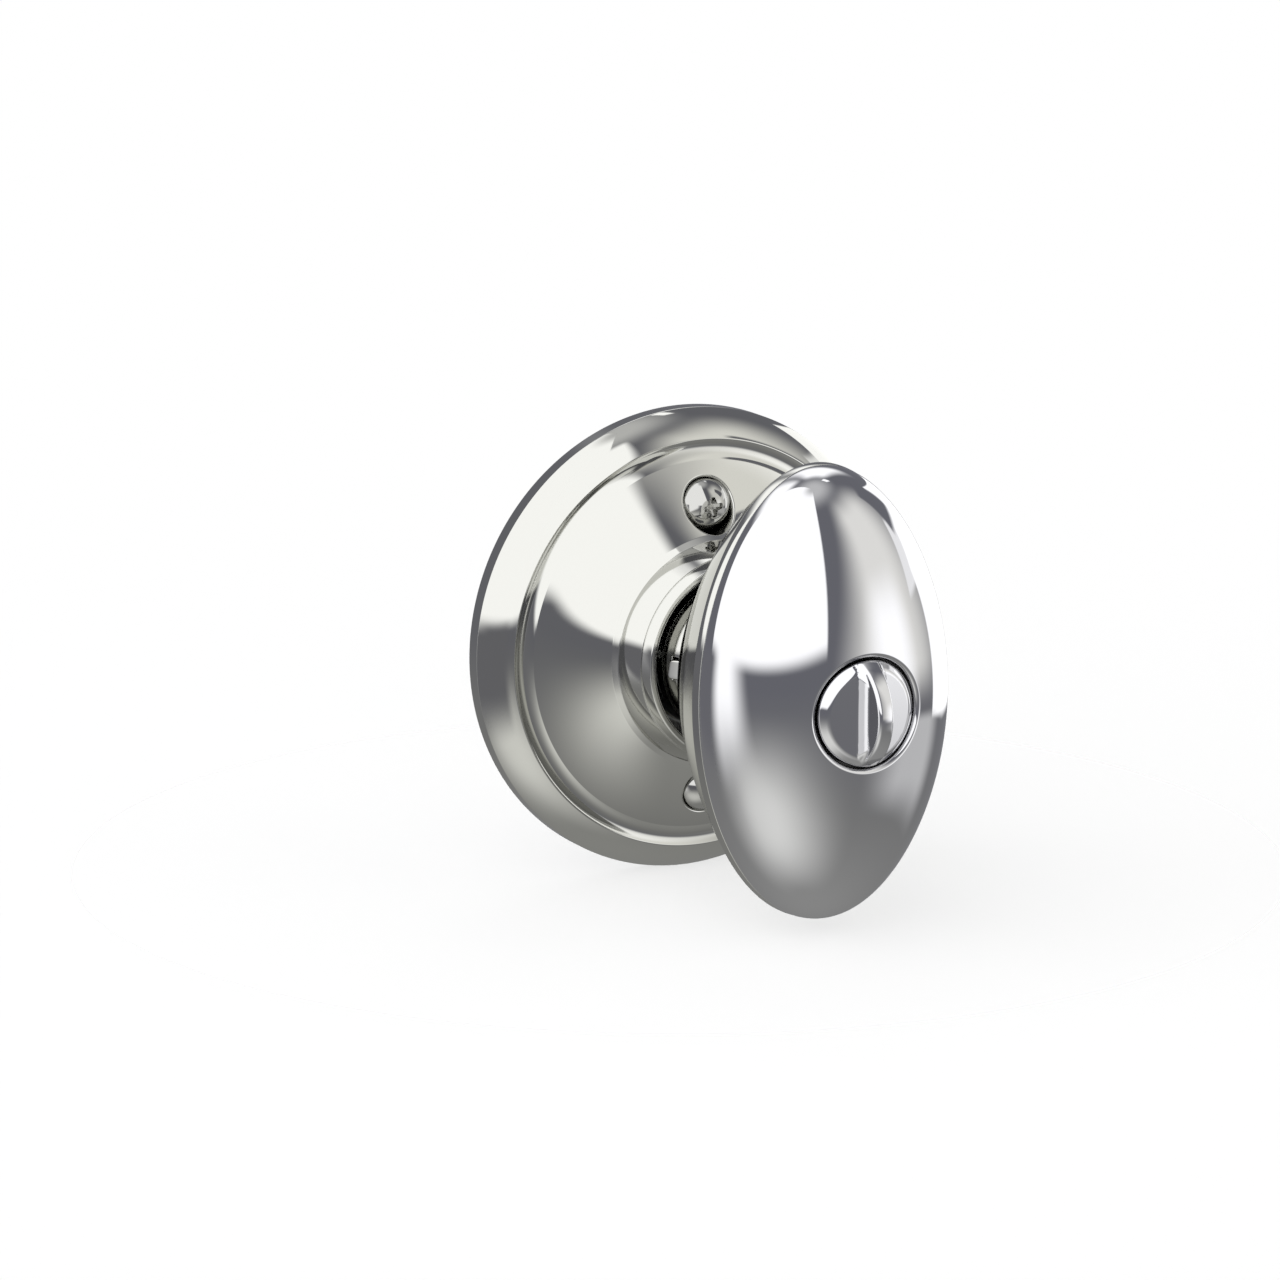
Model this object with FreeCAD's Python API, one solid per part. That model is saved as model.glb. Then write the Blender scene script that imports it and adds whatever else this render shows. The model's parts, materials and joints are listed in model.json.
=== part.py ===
# Inside half of a keyed entry knob lock: rosette, oval knob with turn button, and spring return.
# Millimetres. The Y axis is the knob's axis. The door face is the plane Y = 0, the room is at -Y
# and the door's bore at +Y. +Z is up. A "height" is a distance out from the door face, into the
# room, so a negative height lies inside the door.
import math
import os

import FreeCAD
import Part
from FreeCAD import Vector

# Rosette, a spun cover with a stepped flange, a flared middle and a collar round the knob's neck
rosette_radius = 32.5
rosette_wall = 0.9
rim_height = 2.25
rim_edge_round = 0.3
flange_width = 4.2
groove_outer_height = 5.85
groove_width = 2.0
groove_inner_height = 6.35
flange_bow = 0.35
groove_dip = 0.35
groove_edge_round = 0.3
flare_top_height = 10.65
flare_sag = 0.55
flare_round = 1.0
collar_foot_height = 12.85
collar_spread = 1.55
collar_top_height = 16.0
collar_ledge = 0.3
lip_height = 17.8
lip_thickness = 1.15
lip_hem_depth = 1.4
lip_round = 0.3
mouth_gap = 2.1

# Two mounting screws in cups drawn into the rosette
screw_spacing = 39.7
screw_radius = 2.05
screw_shank_radius = 1.85
thread_start_height = -11.0
screw_end_height = -22.0
screw_tip_chamfer = 0.6
screw_head_radius = 3.4
screw_head_rise = 2.9
screw_head_edge = 0.5
cup_bore_radius = 3.65
cup_wall = 0.8
cup_floor_height = 6.2
cup_floor_thickness = 1.0
cup_lip_round = 0.4
drive_cross_span = 3.6
drive_cross_width = 0.9
drive_cross_depth = 1.7

# Steel mounting plate behind the rosette, with a post under each cup
plate_gap = 1.1
plate_thickness = 1.5
post_radius = 4.1
screw_clearance = 0.25
stop_half_angle = 7.0
stop_reach = 3.4
stop_spare_angle = 0.5

# Bearing tube staked to the plate, and its liner
hub_wall = 1.05
hub_flange_width = 3.0
hub_flange_thickness = 1.3
hub_front_height = 8.4
hub_back_height = -4.6
liner_wall = 0.9
liner_flange_width = 0.75
liner_flange_thickness = 0.6
running_gap = 0.05

# Sleeve that turns in the liner and carries the knob
sleeve_radius = 9.2
sleeve_wall = 1.2
sleeve_front_height = 34.0
sleeve_back_height = -8.4
ring_thickness = 0.8
ring_width = 1.9
ring_groove_depth = 0.4
ring_opening_half_angle = 18.0
axial_gap = 0.2
washer_thickness = 0.5
washer_overhang = 0.4

# Drive plate on the sleeve's back end, with a lug between the return spring's legs
drive_plate_thickness = 1.5
lug_thickness = 1.4
lug_half_angle = 6.5
lug_front_height = -0.7
knob_travel = 60.0

# Return spring, a torsion spring round the hub
spring_wire = 1.1
spring_gap = 0.45
spring_coils = 3
spring_coil_gap = 0.09
spring_leg_gap = 0.05
spring_front_height = -0.9
spring_to_lug = 0.75
lug_to_anchor = 0.4
anchor_thickness = 1.1
anchor_half_angle = 5.5

# Spring cage closing the mechanism behind the door face
anchor_to_cage = 0.2
cage_wall = 0.8
cage_back_height = -10.2
cage_bore_radius = 8.8
ear_half_width = 3.6
ear_end_margin = 3.0
rivet_margin = 3.2
rivet_radius = 1.4
rivet_head_radius = 2.4
rivet_head_rise = 0.9

# Spindle, a D-shaped tube that turns the latch, and the flat turn bar inside it
spindle_radius = 4.3
spindle_flat = 3.3
spindle_end_height = -30.0
spindle_flange_thickness = 1.6
turn_bar_width = 4.4
turn_bar_thickness = 1.4
turn_bar_end_height = -36.0
turn_bar_seat_depth = 3.0
turn_bar_gap = 0.3

# Neck of the knob, a tube over the sleeve
neck_radius = 10.9
neck_socket_depth = 5.0

# Oval knob: a front shell and a back shell that meet at a seam
knob_half_height = 31.0
knob_half_width = 18.1
oval_flattening = 0.012
seam_height = 39.4
face_rise = 13.8
face_power = 2.4
rim_power = 1.93
shell_wall = 0.9
seam_roll = 0.35
seam_roll_width = 3.2
back_power = 1.75
back_end_height = 21.0
back_end_step = 0.4
hole_gap = 0.9
hole_edge_round = 0.8
oval_points = 32
face_turns = (90, 84, 77, 69, 60, 50, 40, 30, 20, 11)
back_shares = (0, 0.045, 0.09, 0.14, 0.2, 0.3, 0.42, 0.55, 0.68, 0.8, 0.91, 1)

# Cast insert that joins neck, shells and button
insert_wall = 1.7
insert_back_gap = 5.0
web_depth = 11.2
web_thickness = 2.2
guide_wall = 1.2
seam_plate_thickness = 1.2
seam_plate_gap = 0.2

# Turn button: a domed disc scooped away on both sides of an upright wing
button_radius = 7.15
button_side = 7.1
button_shoulder_depth = 1.2
button_stand = 4.5
wing_top_thickness = 2.3
wing_foot_thickness = 2.9
wing_edge_round = 0.45
scoop_floor_stand = 0.3
scoop_rise = 0.55
scoop_round = 0.8
stem_radius = 3.2
stem_length = 6.9
clip_thickness = 0.8
clip_outer_radius = 5.0
clip_groove_depth = 0.6
clip_side_gap = 0.25
clip_opening_half_angle = 30.0
friction_washer_thickness = 0.4
friction_washer_rim_gap = 0.6
friction_washer_land = 1.2

# Spring catch that holds the neck on the sleeve, on the knob's left side
catch_height = 19.1
catch_length = 2.6
catch_width = 2.6
catch_foot_overhang = 1.0
catch_foot_thickness = 0.7
catch_slot_gap = 0.15
leaf_thickness = 0.45
leaf_width = 3.6
leaf_back_height = 10.0
leaf_pad_length = 3.0

# Radii that follow from the sizes above, from the sleeve outwards
liner_outer_radius = sleeve_radius + running_gap + liner_wall
liner_flange_radius = liner_outer_radius + liner_flange_width
hub_outer_radius = liner_outer_radius + hub_wall
hub_flange_radius = hub_outer_radius + hub_flange_width
washer_outer_radius = hub_outer_radius + washer_overhang
ring_outer_radius = sleeve_radius - ring_groove_depth + ring_width
spring_mean_radius = hub_outer_radius + spring_gap + spring_wire / 2
lug_inner_radius = spring_mean_radius + spring_wire / 2 + spring_to_lug
drive_plate_radius = lug_inner_radius + lug_thickness
anchor_inner_radius = drive_plate_radius + lug_to_anchor
anchor_outer_radius = anchor_inner_radius + anchor_thickness
cage_outer_radius = anchor_outer_radius + anchor_to_cage + cage_wall
rivet_pitch_radius = cage_outer_radius + rivet_margin
ear_reach = rivet_pitch_radius + ear_end_margin
plate_radius = rosette_radius - rosette_wall - plate_gap
groove_outer_radius = rosette_radius - flange_width
groove_inner_radius = groove_outer_radius - groove_width
mouth_radius = neck_radius + mouth_gap
lip_radius = mouth_radius + lip_thickness
collar_top_radius = lip_radius + collar_ledge
collar_foot_radius = collar_top_radius + collar_spread
hole_radius = button_radius + hole_gap
spindle_bore_radius = math.hypot(turn_bar_width, turn_bar_thickness) / 2 + turn_bar_gap

# Heights that follow from the sizes above
seat_gap = 0.3
face_height = seam_height + face_rise
button_shoulder_height = face_height - button_shoulder_depth
button_base_height = button_shoulder_height - button_side
button_top_height = face_height + button_stand
scoop_floor_height = face_height + scoop_floor_stand
stem_end_height = button_base_height - stem_length
web_height = face_height - web_depth
insert_back_height = back_end_height + insert_back_gap
neck_top_height = insert_back_height + neck_socket_depth

axis = Vector(0, 1, 0)
outward = Vector(0, -1, 0)
centre = Vector(0, 0, 0)


def at(radius, height):
    """A point of a section drawn in the half-plane X > 0, Z = 0."""
    return Vector(radius, -height, 0)


def disc(radius, low, high, x=0.0, z=0.0):
    """Solid cylinder between two heights, parallel to the knob's axis."""
    return Part.makeCylinder(radius, high - low, Vector(x, -low, z), outward)


def tube(inner, outer, low, high, x=0.0, z=0.0):
    return disc(outer, low, high, x, z).cut(disc(inner, low - 1, high + 1, x, z))


def spun(outline):
    """Solid of revolution of a closed section."""
    face = Part.Face(outline)
    return face.revolve(centre, axis, 360)


def block(x_low, x_high, low, high, z_low, z_high):
    corner = Vector(x_low, -high, z_low)
    return Part.makeBox(x_high - x_low, high - low, z_high - z_low, corner)


def sector(inner, outer, low, high, middle, half_angle):
    """Part of a tube that spans an angle; middle is measured from +X towards +Z."""
    ring = Part.Face(Part.makePolygon([at(inner, low), at(outer, low), at(outer, high), at(inner, high),
                                       at(inner, low)]))
    ring.rotate(centre, outward, middle - half_angle)
    return ring.revolve(centre, outward, 2 * half_angle)


def bowed(start, end, bow):
    """Arc between two points, bowed to the left of the way from start to end."""
    along = end - start
    side = Vector(-along.y, along.x, 0).normalize()
    return Part.Arc(start, (start + end) * 0.5 + side * bow, end).toShape()


def round_circles(solid, radius, places):
    """Round the full circles that lie at the given (radius, height) places."""
    chosen = []
    for edge in solid.Edges:
        if not isinstance(edge.Curve, Part.Circle) or abs(edge.Curve.Axis.y) < 0.99:
            continue
        for circle_radius, height in places:
            near_height = abs(-edge.Curve.Center.y - height) < 0.01
            if near_height and abs(edge.Curve.Radius - circle_radius) < 0.01:
                chosen.append(edge)
    return solid.makeFillet(radius, chosen)


# Rosette

def rosette_outer_curve():
    rim_foot = at(rosette_radius, 0)
    rim_top = at(rosette_radius, rim_height)
    groove_outer = at(groove_outer_radius, groove_outer_height)
    groove_inner = at(groove_inner_radius, groove_inner_height)
    flare_top = at(collar_foot_radius, flare_top_height)
    collar_foot = at(collar_foot_radius, collar_foot_height)
    collar_top = at(collar_top_radius, collar_top_height)
    ledge = at(lip_radius, collar_top_height)
    lip_outer = at(lip_radius, lip_height)
    lip_inner = at(mouth_radius, lip_height)
    hem = at(mouth_radius, lip_height - lip_hem_depth)
    return Part.Wire([
        Part.makeLine(rim_foot, rim_top),
        bowed(rim_top, groove_outer, flange_bow),
        bowed(groove_outer, groove_inner, -groove_dip),
        bowed(groove_inner, flare_top, -flare_sag),
        Part.makeLine(flare_top, collar_foot),
        Part.makeLine(collar_foot, collar_top),
        Part.makeLine(collar_top, ledge),
        Part.makeLine(ledge, lip_outer),
        Part.makeLine(lip_outer, lip_inner),
        Part.makeLine(lip_inner, hem)])


def wire_ends(wire):
    """First and last point of an open wire, the one nearer the door first."""
    ends = [wire.OrderedVertexes[0].Point, wire.OrderedVertexes[-1].Point]
    return sorted(ends, key=lambda point: -point.y)


def make_rosette():
    outer = rosette_outer_curve()
    inner = outer.makeOffset2D(rosette_wall, 0, False, True)
    outer_door, outer_mouth = wire_ends(outer)
    inner_door, inner_mouth = wire_ends(inner)
    edges = outer.Edges + inner.Edges
    edges += [Part.makeLine(outer_door, inner_door), Part.makeLine(outer_mouth, inner_mouth)]
    shell = spun(Part.Wire(Part.__sortEdges__(edges)))
    solid_form = spun(Part.Wire(Part.__sortEdges__(outer.Edges + [
        Part.makeLine(outer_door, at(0, 0)), Part.makeLine(at(0, 0), at(0, lip_height - lip_hem_depth)),
        Part.makeLine(at(0, lip_height - lip_hem_depth), outer_mouth)])))
    shell = round_circles(shell, rim_edge_round, [(rosette_radius, rim_height)])
    shell = round_circles(shell, groove_edge_round, [(groove_outer_radius, groove_outer_height)])
    shell = round_circles(shell, flare_round, [(collar_foot_radius, flare_top_height)])
    shell = round_circles(shell, lip_round, [(lip_radius, lip_height), (mouth_radius, lip_height)])
    cup_bottom = cup_floor_height - cup_floor_thickness
    for z in screw_heights():
        cup = disc(cup_bore_radius + cup_wall, cup_bottom, lip_height, 0, z)
        cup = cup.common(solid_form).cut(disc(mouth_radius + rosette_wall, 0, lip_height))
        shell = shell.fuse(cup)
    for z in screw_heights():
        shell = shell.cut(disc(cup_bore_radius, cup_floor_height, lip_height, 0, z))
        shell = shell.cut(disc(screw_radius + screw_clearance, 0, lip_height, 0, z))
    return round_cup_lips(shell.removeSplitter())


def round_cup_lips(shell):
    """Round the edge where each cup's bore meets the flare."""
    lips = []
    for edge in shell.Edges:
        points = edge.discretize(5)
        on_bore = all(abs(math.hypot(point.x, abs(point.z) - screw_spacing / 2) - cup_bore_radius) < 0.01
                      for point in points)
        if on_bore and all(-point.y > cup_floor_height + 0.01 for point in points):
            lips.append(edge)
    return shell.makeFillet(cup_lip_round, lips)


def screw_heights():
    """Z of the two screws."""
    return (screw_spacing / 2, -screw_spacing / 2)


def make_mounting_screws():
    seat = cup_floor_height
    head_radius = (screw_head_radius ** 2 + (screw_head_rise - screw_head_edge) ** 2) / (
        2 * (screw_head_rise - screw_head_edge))
    top = seat + screw_head_rise
    screws = []
    for z in screw_heights():
        ball = Part.makeSphere(head_radius, Vector(0, -(top - head_radius), z))
        head = ball.common(disc(screw_head_radius, seat, top + 1, 0, z))
        thread = disc(screw_radius, screw_end_height, thread_start_height, 0, z)
        tip = [edge for edge in thread.Edges if abs(edge.BoundBox.YMax + screw_end_height) < 0.01
               and edge.BoundBox.YLength < 0.01]
        thread = thread.makeChamfer(screw_tip_chamfer, tip)
        screw = thread.fuse(disc(screw_shank_radius, thread_start_height, seat, 0, z)).fuse(head)
        for turn in (0, 90):
            slot = block(-drive_cross_span / 2, drive_cross_span / 2, top - drive_cross_depth, top + 1,
                         -drive_cross_width / 2, drive_cross_width / 2)
            slot.rotate(centre, axis, turn)
            slot.translate(Vector(0, 0, z))
            screw = screw.cut(slot)
        screws.append(screw.removeSplitter())
    return Part.makeCompound(screws)


# Parts fixed to the door

def stop_middles():
    """Angles of the two stops, one lug and one stop half-angle beyond the knob's travel."""
    away = knob_travel + lug_half_angle + stop_half_angle + stop_spare_angle
    return (90 - away, 90 + away)


def make_mounting_plate():
    plate = disc(plate_radius, 0, plate_thickness)
    plate = plate.cut(disc(hub_outer_radius, -1, plate_thickness + 1))
    for middle in stop_middles():
        plate = plate.fuse(sector(lug_inner_radius, drive_plate_radius, -stop_reach, 0,
                                  middle, stop_half_angle))
    plate = plate.fuse(sector(anchor_inner_radius, anchor_outer_radius, anchor_end_height(), 0,
                              90, anchor_half_angle))
    for z in screw_heights():
        plate = plate.cut(disc(screw_radius + screw_clearance, -1, plate_thickness + 1, 0, z))
    for x in (rivet_pitch_radius, -rivet_pitch_radius):
        plate = plate.cut(disc(rivet_radius, -1, plate_thickness + 1, x))
    return plate.removeSplitter()


def anchor_end_height():
    """The fixed tab between the spring's legs stops just in front of the drive plate."""
    return drive_plate_front() + seat_gap


def make_screw_posts():
    top = cup_floor_height - cup_floor_thickness
    return Part.makeCompound([tube(screw_radius + screw_clearance, post_radius, plate_thickness, top, 0, z)
                              for z in screw_heights()])


def make_hub():
    flange_top = plate_thickness + hub_flange_thickness
    body = disc(hub_outer_radius, hub_back_height, hub_front_height)
    body = body.fuse(disc(hub_flange_radius, plate_thickness, flange_top))
    body = body.cut(disc(liner_outer_radius, hub_back_height - 1, hub_front_height + 1))
    return body.removeSplitter()


def make_hub_liner():
    top = hub_front_height + liner_flange_thickness
    body = disc(liner_outer_radius, hub_back_height, top)
    body = body.fuse(disc(liner_flange_radius, hub_front_height, top))
    return body.cut(disc(sleeve_radius + running_gap, hub_back_height - 1, top + 1)).removeSplitter()


def make_thrust_washer():
    return tube(sleeve_radius + running_gap, washer_outer_radius, hub_back_height - washer_thickness,
                hub_back_height)


def make_return_spring():
    """Torsion spring with a leg on each side of the anchor tab and the lug."""
    leg_side = leg_offset()
    mean = spring_mean_radius
    start = math.degrees(math.asin(leg_side / mean))
    turns = spring_coils - 2 * start / 360
    pitch = spring_wire + spring_coil_gap
    length = turns * pitch
    helix = Part.makeHelix(pitch, length, mean)
    path = Part.Wire(helix.Edges)
    begin = Vector(mean, 0, 0)
    profile = Part.Wire(Part.makeCircle(spring_wire / 2, begin, Vector(0, 1, 0)))
    coil = path.makePipeShell([profile], True, True)
    coil.rotate(centre, Vector(1, 0, 0), 90)
    # The helix now rises along -Y from the +X axis, turning from +X towards +Z
    coil.rotate(centre, outward, 90 + start)
    coil.translate(Vector(0, -(spring_front_height - length), 0))
    legs = []
    for height, side in ((spring_front_height - length, -leg_side), (spring_front_height, leg_side)):
        foot = math.sqrt(mean ** 2 - leg_side ** 2)
        legs.append(Part.makeCylinder(spring_wire / 2, spring_leg_end() - foot,
                                      Vector(side, -height, foot), Vector(0, 0, 1)))
        legs.append(Part.makeSphere(spring_wire / 2, Vector(side, -height, foot)))
    return coil.multiFuse(legs)


def spring_leg_end():
    """The legs reach across the anchor tab, just clear of the cage."""
    return anchor_outer_radius - anchor_to_cage


def leg_offset():
    """Distance of each leg's centre line from the vertical plane through the axis."""
    tab = anchor_outer_radius * math.sin(math.radians(anchor_half_angle))
    lug = drive_plate_radius * math.sin(math.radians(lug_half_angle))
    return max(tab, lug) + spring_wire / 2 + spring_leg_gap


def make_spring_cage():
    inner = cage_outer_radius - cage_wall
    cup = disc(cage_outer_radius, cage_back_height, 0)
    cup = cup.cut(disc(inner, cage_back_height + cage_wall, 1))
    ears = block(-ear_reach, ear_reach, -cage_wall, 0, -ear_half_width, ear_half_width)
    ears = ears.common(disc(ear_reach, -cage_wall, 0)).cut(disc(inner, -cage_wall - 1, 1))
    cage = cup.fuse(ears).cut(disc(cage_bore_radius, cage_back_height - 1, 1))
    for x in (rivet_pitch_radius, -rivet_pitch_radius):
        cage = cage.cut(disc(rivet_radius, -cage_wall - 1, 1, x))
    return cage.removeSplitter()


def make_cage_rivets():
    rivets = []
    for x in (rivet_pitch_radius, -rivet_pitch_radius):
        back = -cage_wall
        rivet = disc(rivet_radius, back, plate_thickness, x)
        rivet = rivet.fuse(disc(rivet_head_radius, back - rivet_head_rise, back, x))
        rivet = rivet.fuse(disc(rivet_head_radius, plate_thickness, plate_thickness + rivet_head_rise, x))
        rivets.append(rivet.removeSplitter())
    return Part.makeCompound(rivets)


# Parts that turn with the knob

def ring_low():
    """The retaining ring runs just clear of the liner's flange."""
    return hub_front_height + liner_flange_thickness + axial_gap


def drive_plate_front():
    return hub_back_height - washer_thickness - axial_gap


def catch_slot(gap, x_low, x_high):
    """Slot for the catch in the wall on the -X side."""
    half_length = catch_length / 2 + gap
    half_width = catch_width / 2 + gap
    return block(x_low, x_high, catch_height - half_length, catch_height + half_length,
                 -half_width, half_width)


def make_drive_sleeve():
    sleeve = tube(sleeve_radius - sleeve_wall, sleeve_radius, sleeve_back_height, sleeve_front_height)
    groove = tube(sleeve_radius - ring_groove_depth, sleeve_radius + 1, ring_low(),
                  ring_low() + ring_thickness)
    sleeve = sleeve.cut(groove)
    return sleeve.cut(catch_slot(catch_slot_gap, -sleeve_radius - 1, 0))


def make_retaining_ring():
    """Open ring snapped into the sleeve's groove."""
    ring = tube(sleeve_radius - ring_groove_depth, ring_outer_radius, ring_low(), ring_low() + ring_thickness)
    return ring.cut(sector(sleeve_radius - 1, ring_outer_radius + 1, ring_low() - 1,
                           ring_low() + ring_thickness + 1, -90, ring_opening_half_angle))


def make_drive_plate():
    front = drive_plate_front()
    back = front - drive_plate_thickness
    plate = disc(washer_outer_radius, back, front)
    web = sector(washer_outer_radius - 1, drive_plate_radius, back, front, 90, 2 * lug_half_angle)
    lug = sector(lug_inner_radius, drive_plate_radius, back, lug_front_height, 90, lug_half_angle)
    plate = plate.fuse(web).fuse(lug)
    return plate.cut(disc(sleeve_radius, back - 1, lug_front_height + 1)).removeSplitter()


def spindle_section(radius, flat, low, high):
    """D-shaped bar: a round bar with a flat on its +X side."""
    bar = disc(radius, low, high)
    return bar.cut(block(flat, radius + 1, low - 1, high + 1, -radius - 1, radius + 1))


def make_latch_spindle():
    seat = sleeve_back_height
    spindle = spindle_section(spindle_radius, spindle_flat, spindle_end_height,
                              seat + spindle_flange_thickness)
    flange = disc(sleeve_radius - sleeve_wall, seat, seat + spindle_flange_thickness)
    bore = disc(spindle_bore_radius, spindle_end_height - 1, seat + spindle_flange_thickness + 1)
    return spindle.fuse(flange).cut(bore).removeSplitter()


def make_knob_neck():
    foot = ring_low() + ring_thickness + seat_gap
    neck = tube(sleeve_radius + running_gap / 2, neck_radius, foot, neck_top_height)
    return neck.cut(catch_slot(catch_slot_gap, -neck_radius - 1, 0))


# Oval shells

def oval(half_width, half_height, height):
    """Closed oval a little slimmer than an ellipse between its four ends."""
    points = []
    for i in range(oval_points):
        angle = 2 * math.pi * i / oval_points
        slim = 1 - oval_flattening * math.sin(2 * angle) ** 2
        points.append(Vector(half_width * math.cos(angle) * slim, -height,
                             half_height * math.sin(angle) * slim))
    curve = Part.BSplineCurve()
    curve.interpolate(Points=points, PeriodicFlag=True)
    return Part.Wire(curve.toShape())


def face_section(turn, inset):
    """Oval of the front shell at an angle from the face's centre (0) to the seam (90)."""
    share = math.sin(math.radians(turn))
    rise = face_rise - inset
    height = seam_height + rise * max(0.0, 1 - share ** face_power) ** (1 / rim_power)
    return oval((knob_half_width - inset) * share, (knob_half_height - inset) * share, height)


def front_form(inset):
    return Part.makeLoft([face_section(turn, inset) for turn in face_turns], True, False)


def back_half_size(rim_half, share, inset):
    """Half-size of the back shell at a share of the way from the seam (0) to the neck (1)."""
    depth = share * (seam_height - back_end_height)
    roll = seam_roll * math.sin(math.pi * min(depth / seam_roll_width, 1))
    end_half = neck_radius + back_end_step
    return end_half + (rim_half - end_half) * (1 - share ** back_power) + roll - inset


def back_form(inset):
    ovals = []
    for share in back_shares:
        height = seam_height - share * (seam_height - back_end_height)
        ovals.append(oval(back_half_size(knob_half_width, share, inset),
                          back_half_size(knob_half_height, share, inset), height))
    return Part.makeLoft(ovals, True, False)


def make_knob_front_shell():
    form = front_form(0).cut(disc(hole_radius, seam_height - 1, face_height + 1))
    rim = [edge for edge in form.Edges if edge.BoundBox.YLength < shell_wall
           and -edge.BoundBox.Center.y > seam_height + shell_wall]
    return form.makeFillet(hole_edge_round, rim).cut(front_form(shell_wall))


def make_knob_back_shell():
    shell = back_form(0).cut(back_form(shell_wall))
    return shell.cut(disc(neck_radius, back_end_height - 1, neck_top_height))


def make_seam_plate():
    """Oval plate inside the seam, carried by the insert's flange."""
    low = seam_height - seam_plate_thickness
    inset = shell_wall + seam_plate_gap
    edge = oval(knob_half_width - inset, knob_half_height - inset, low)
    plate = Part.Face(edge).extrude(outward * seam_plate_thickness)
    return plate.cut(disc(guide_outer_radius(), low - 1, seam_height + 1))


def guide_outer_radius():
    return button_radius + 2 * running_gap + guide_wall


def guide_top():
    """The guide tube stops just inside the front shell, where the face is lowest over its rim."""
    share = guide_outer_radius() / (knob_half_width - shell_wall)
    rise = (face_rise - shell_wall) * (1 - share ** face_power) ** (1 / rim_power)
    return seam_height + rise - seat_gap


def make_knob_insert():
    """Cast core: socket over neck and sleeve, web with the button's bearing, and guide tube."""
    web_low = web_height - web_thickness
    flange_top = seam_height - seam_plate_thickness
    body = disc(neck_radius + insert_wall, insert_back_height, flange_top)
    body = body.fuse(disc(guide_outer_radius(), flange_top, guide_top()))
    body = body.cut(disc(button_radius + 2 * running_gap, web_height, guide_top() + 1))
    body = body.cut(disc(neck_radius, insert_back_height - 1, neck_top_height))
    body = body.cut(disc(sleeve_radius, neck_top_height - 1, sleeve_front_height))
    body = body.cut(disc(clip_outer_radius + 1, sleeve_front_height - 1, web_low))
    body = body.cut(disc(stem_radius + running_gap, web_low - 1, web_height + 1))
    return body.removeSplitter()


# Turn button

def button_dome():
    """Solid of the button before scooping: a disc with a round dome over its shoulder."""
    sag = button_top_height - button_shoulder_height
    crown = (button_radius ** 2 + sag ** 2) / (2 * sag)
    ball = Part.makeSphere(crown, Vector(0, -(button_top_height - crown), 0))
    dome = ball.common(disc(button_radius, button_shoulder_height, button_top_height + 1))
    return dome.fuse(disc(button_radius, button_base_height, button_shoulder_height)).removeSplitter()


def scoop(side):
    """Tool that clears one side of the wing: a sloping floor rounded up into the wing."""
    foot = wing_foot_thickness / 2
    top = button_top_height + 1
    reach = button_radius + 2
    rise = scoop_rise * (reach - foot) / (button_radius - foot)
    foot_point = Vector(side * foot, -scoop_floor_height, 0)
    wall_top = Vector(side * wing_top_thickness / 2, -button_top_height, 0)
    corners = [foot_point, wall_top, Vector(side * wing_top_thickness / 2, -top, 0),
               Vector(side * reach, -top, 0), Vector(side * reach, -(scoop_floor_height + rise), 0)]
    section = Part.Face(Part.makePolygon(corners + [foot_point]))
    section.translate(Vector(0, 0, -button_radius - 1))
    tool = section.extrude(Vector(0, 0, 2 * button_radius + 2))
    inner = [edge for edge in tool.Edges if edge.BoundBox.XLength < 0.001 and edge.BoundBox.YLength < 0.001
             and abs(edge.BoundBox.Center.x - side * foot) < 0.001
             and abs(edge.BoundBox.Center.y + scoop_floor_height) < 0.001]
    return tool.makeFillet(scoop_round, inner)


def make_turn_button():
    button = button_dome()
    for side in (1, -1):
        button = button.cut(scoop(side))
    button = button.fuse(disc(stem_radius, stem_end_height, button_base_height))
    groove = tube(stem_radius - clip_groove_depth, stem_radius + 1, clip_low(), clip_low() + clip_thickness)
    seat = turn_bar_block(stem_end_height - 1, stem_end_height + turn_bar_seat_depth)
    button = button.cut(groove).cut(seat).removeSplitter()
    crest = [edge for edge in button.Edges if -edge.BoundBox.Center.y > scoop_floor_height + 1
             and edge.BoundBox.ZLength > button_radius]
    return button.makeFillet(wing_edge_round, crest)


def clip_low():
    """The clip sits just behind the insert's web."""
    return web_height - web_thickness - clip_side_gap - clip_thickness


def make_button_clip():
    clip = tube(stem_radius - clip_groove_depth, clip_outer_radius, clip_low(), clip_low() + clip_thickness)
    return clip.cut(sector(stem_radius - 1, clip_outer_radius + 1, clip_low() - 1,
                           clip_low() + clip_thickness + 1, -90, clip_opening_half_angle))


def make_friction_washer():
    """Dished spring washer between the web and the button."""
    inner = stem_radius + running_gap
    outer = button_radius - friction_washer_rim_gap
    low = web_height
    high = button_base_height
    return spun(Part.makePolygon([at(inner, high - friction_washer_thickness), at(inner, high),
                                  at(inner + friction_washer_land, high),
                                  at(outer, low + friction_washer_thickness), at(outer, low),
                                  at(outer - friction_washer_land, low),
                                  at(inner, high - friction_washer_thickness)]))


def turn_bar_block(low, high):
    return block(-turn_bar_thickness / 2, turn_bar_thickness / 2, low, high,
                 -turn_bar_width / 2, turn_bar_width / 2)


def make_turn_bar():
    return turn_bar_block(turn_bar_end_height, stem_end_height + turn_bar_seat_depth)


# Spring catch

def catch_foot_top():
    """X of the catch foot's outer face, which rests on the inside of the sleeve."""
    half = catch_width / 2 + catch_foot_overhang
    return -math.sqrt((sleeve_radius - sleeve_wall) ** 2 - half ** 2)


def make_knob_catch():
    foot_inner = catch_foot_top() + catch_foot_thickness
    head = catch_slot(0, -neck_radius - 1, foot_inner).common(disc(neck_radius, 0, face_height))
    half_length = catch_length / 2 + catch_foot_overhang
    half_width = catch_width / 2 + catch_foot_overhang
    foot = block(catch_foot_top(), foot_inner, catch_height - half_length, catch_height + half_length,
                 -half_width, half_width)
    return head.fuse(foot).removeSplitter()


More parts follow.
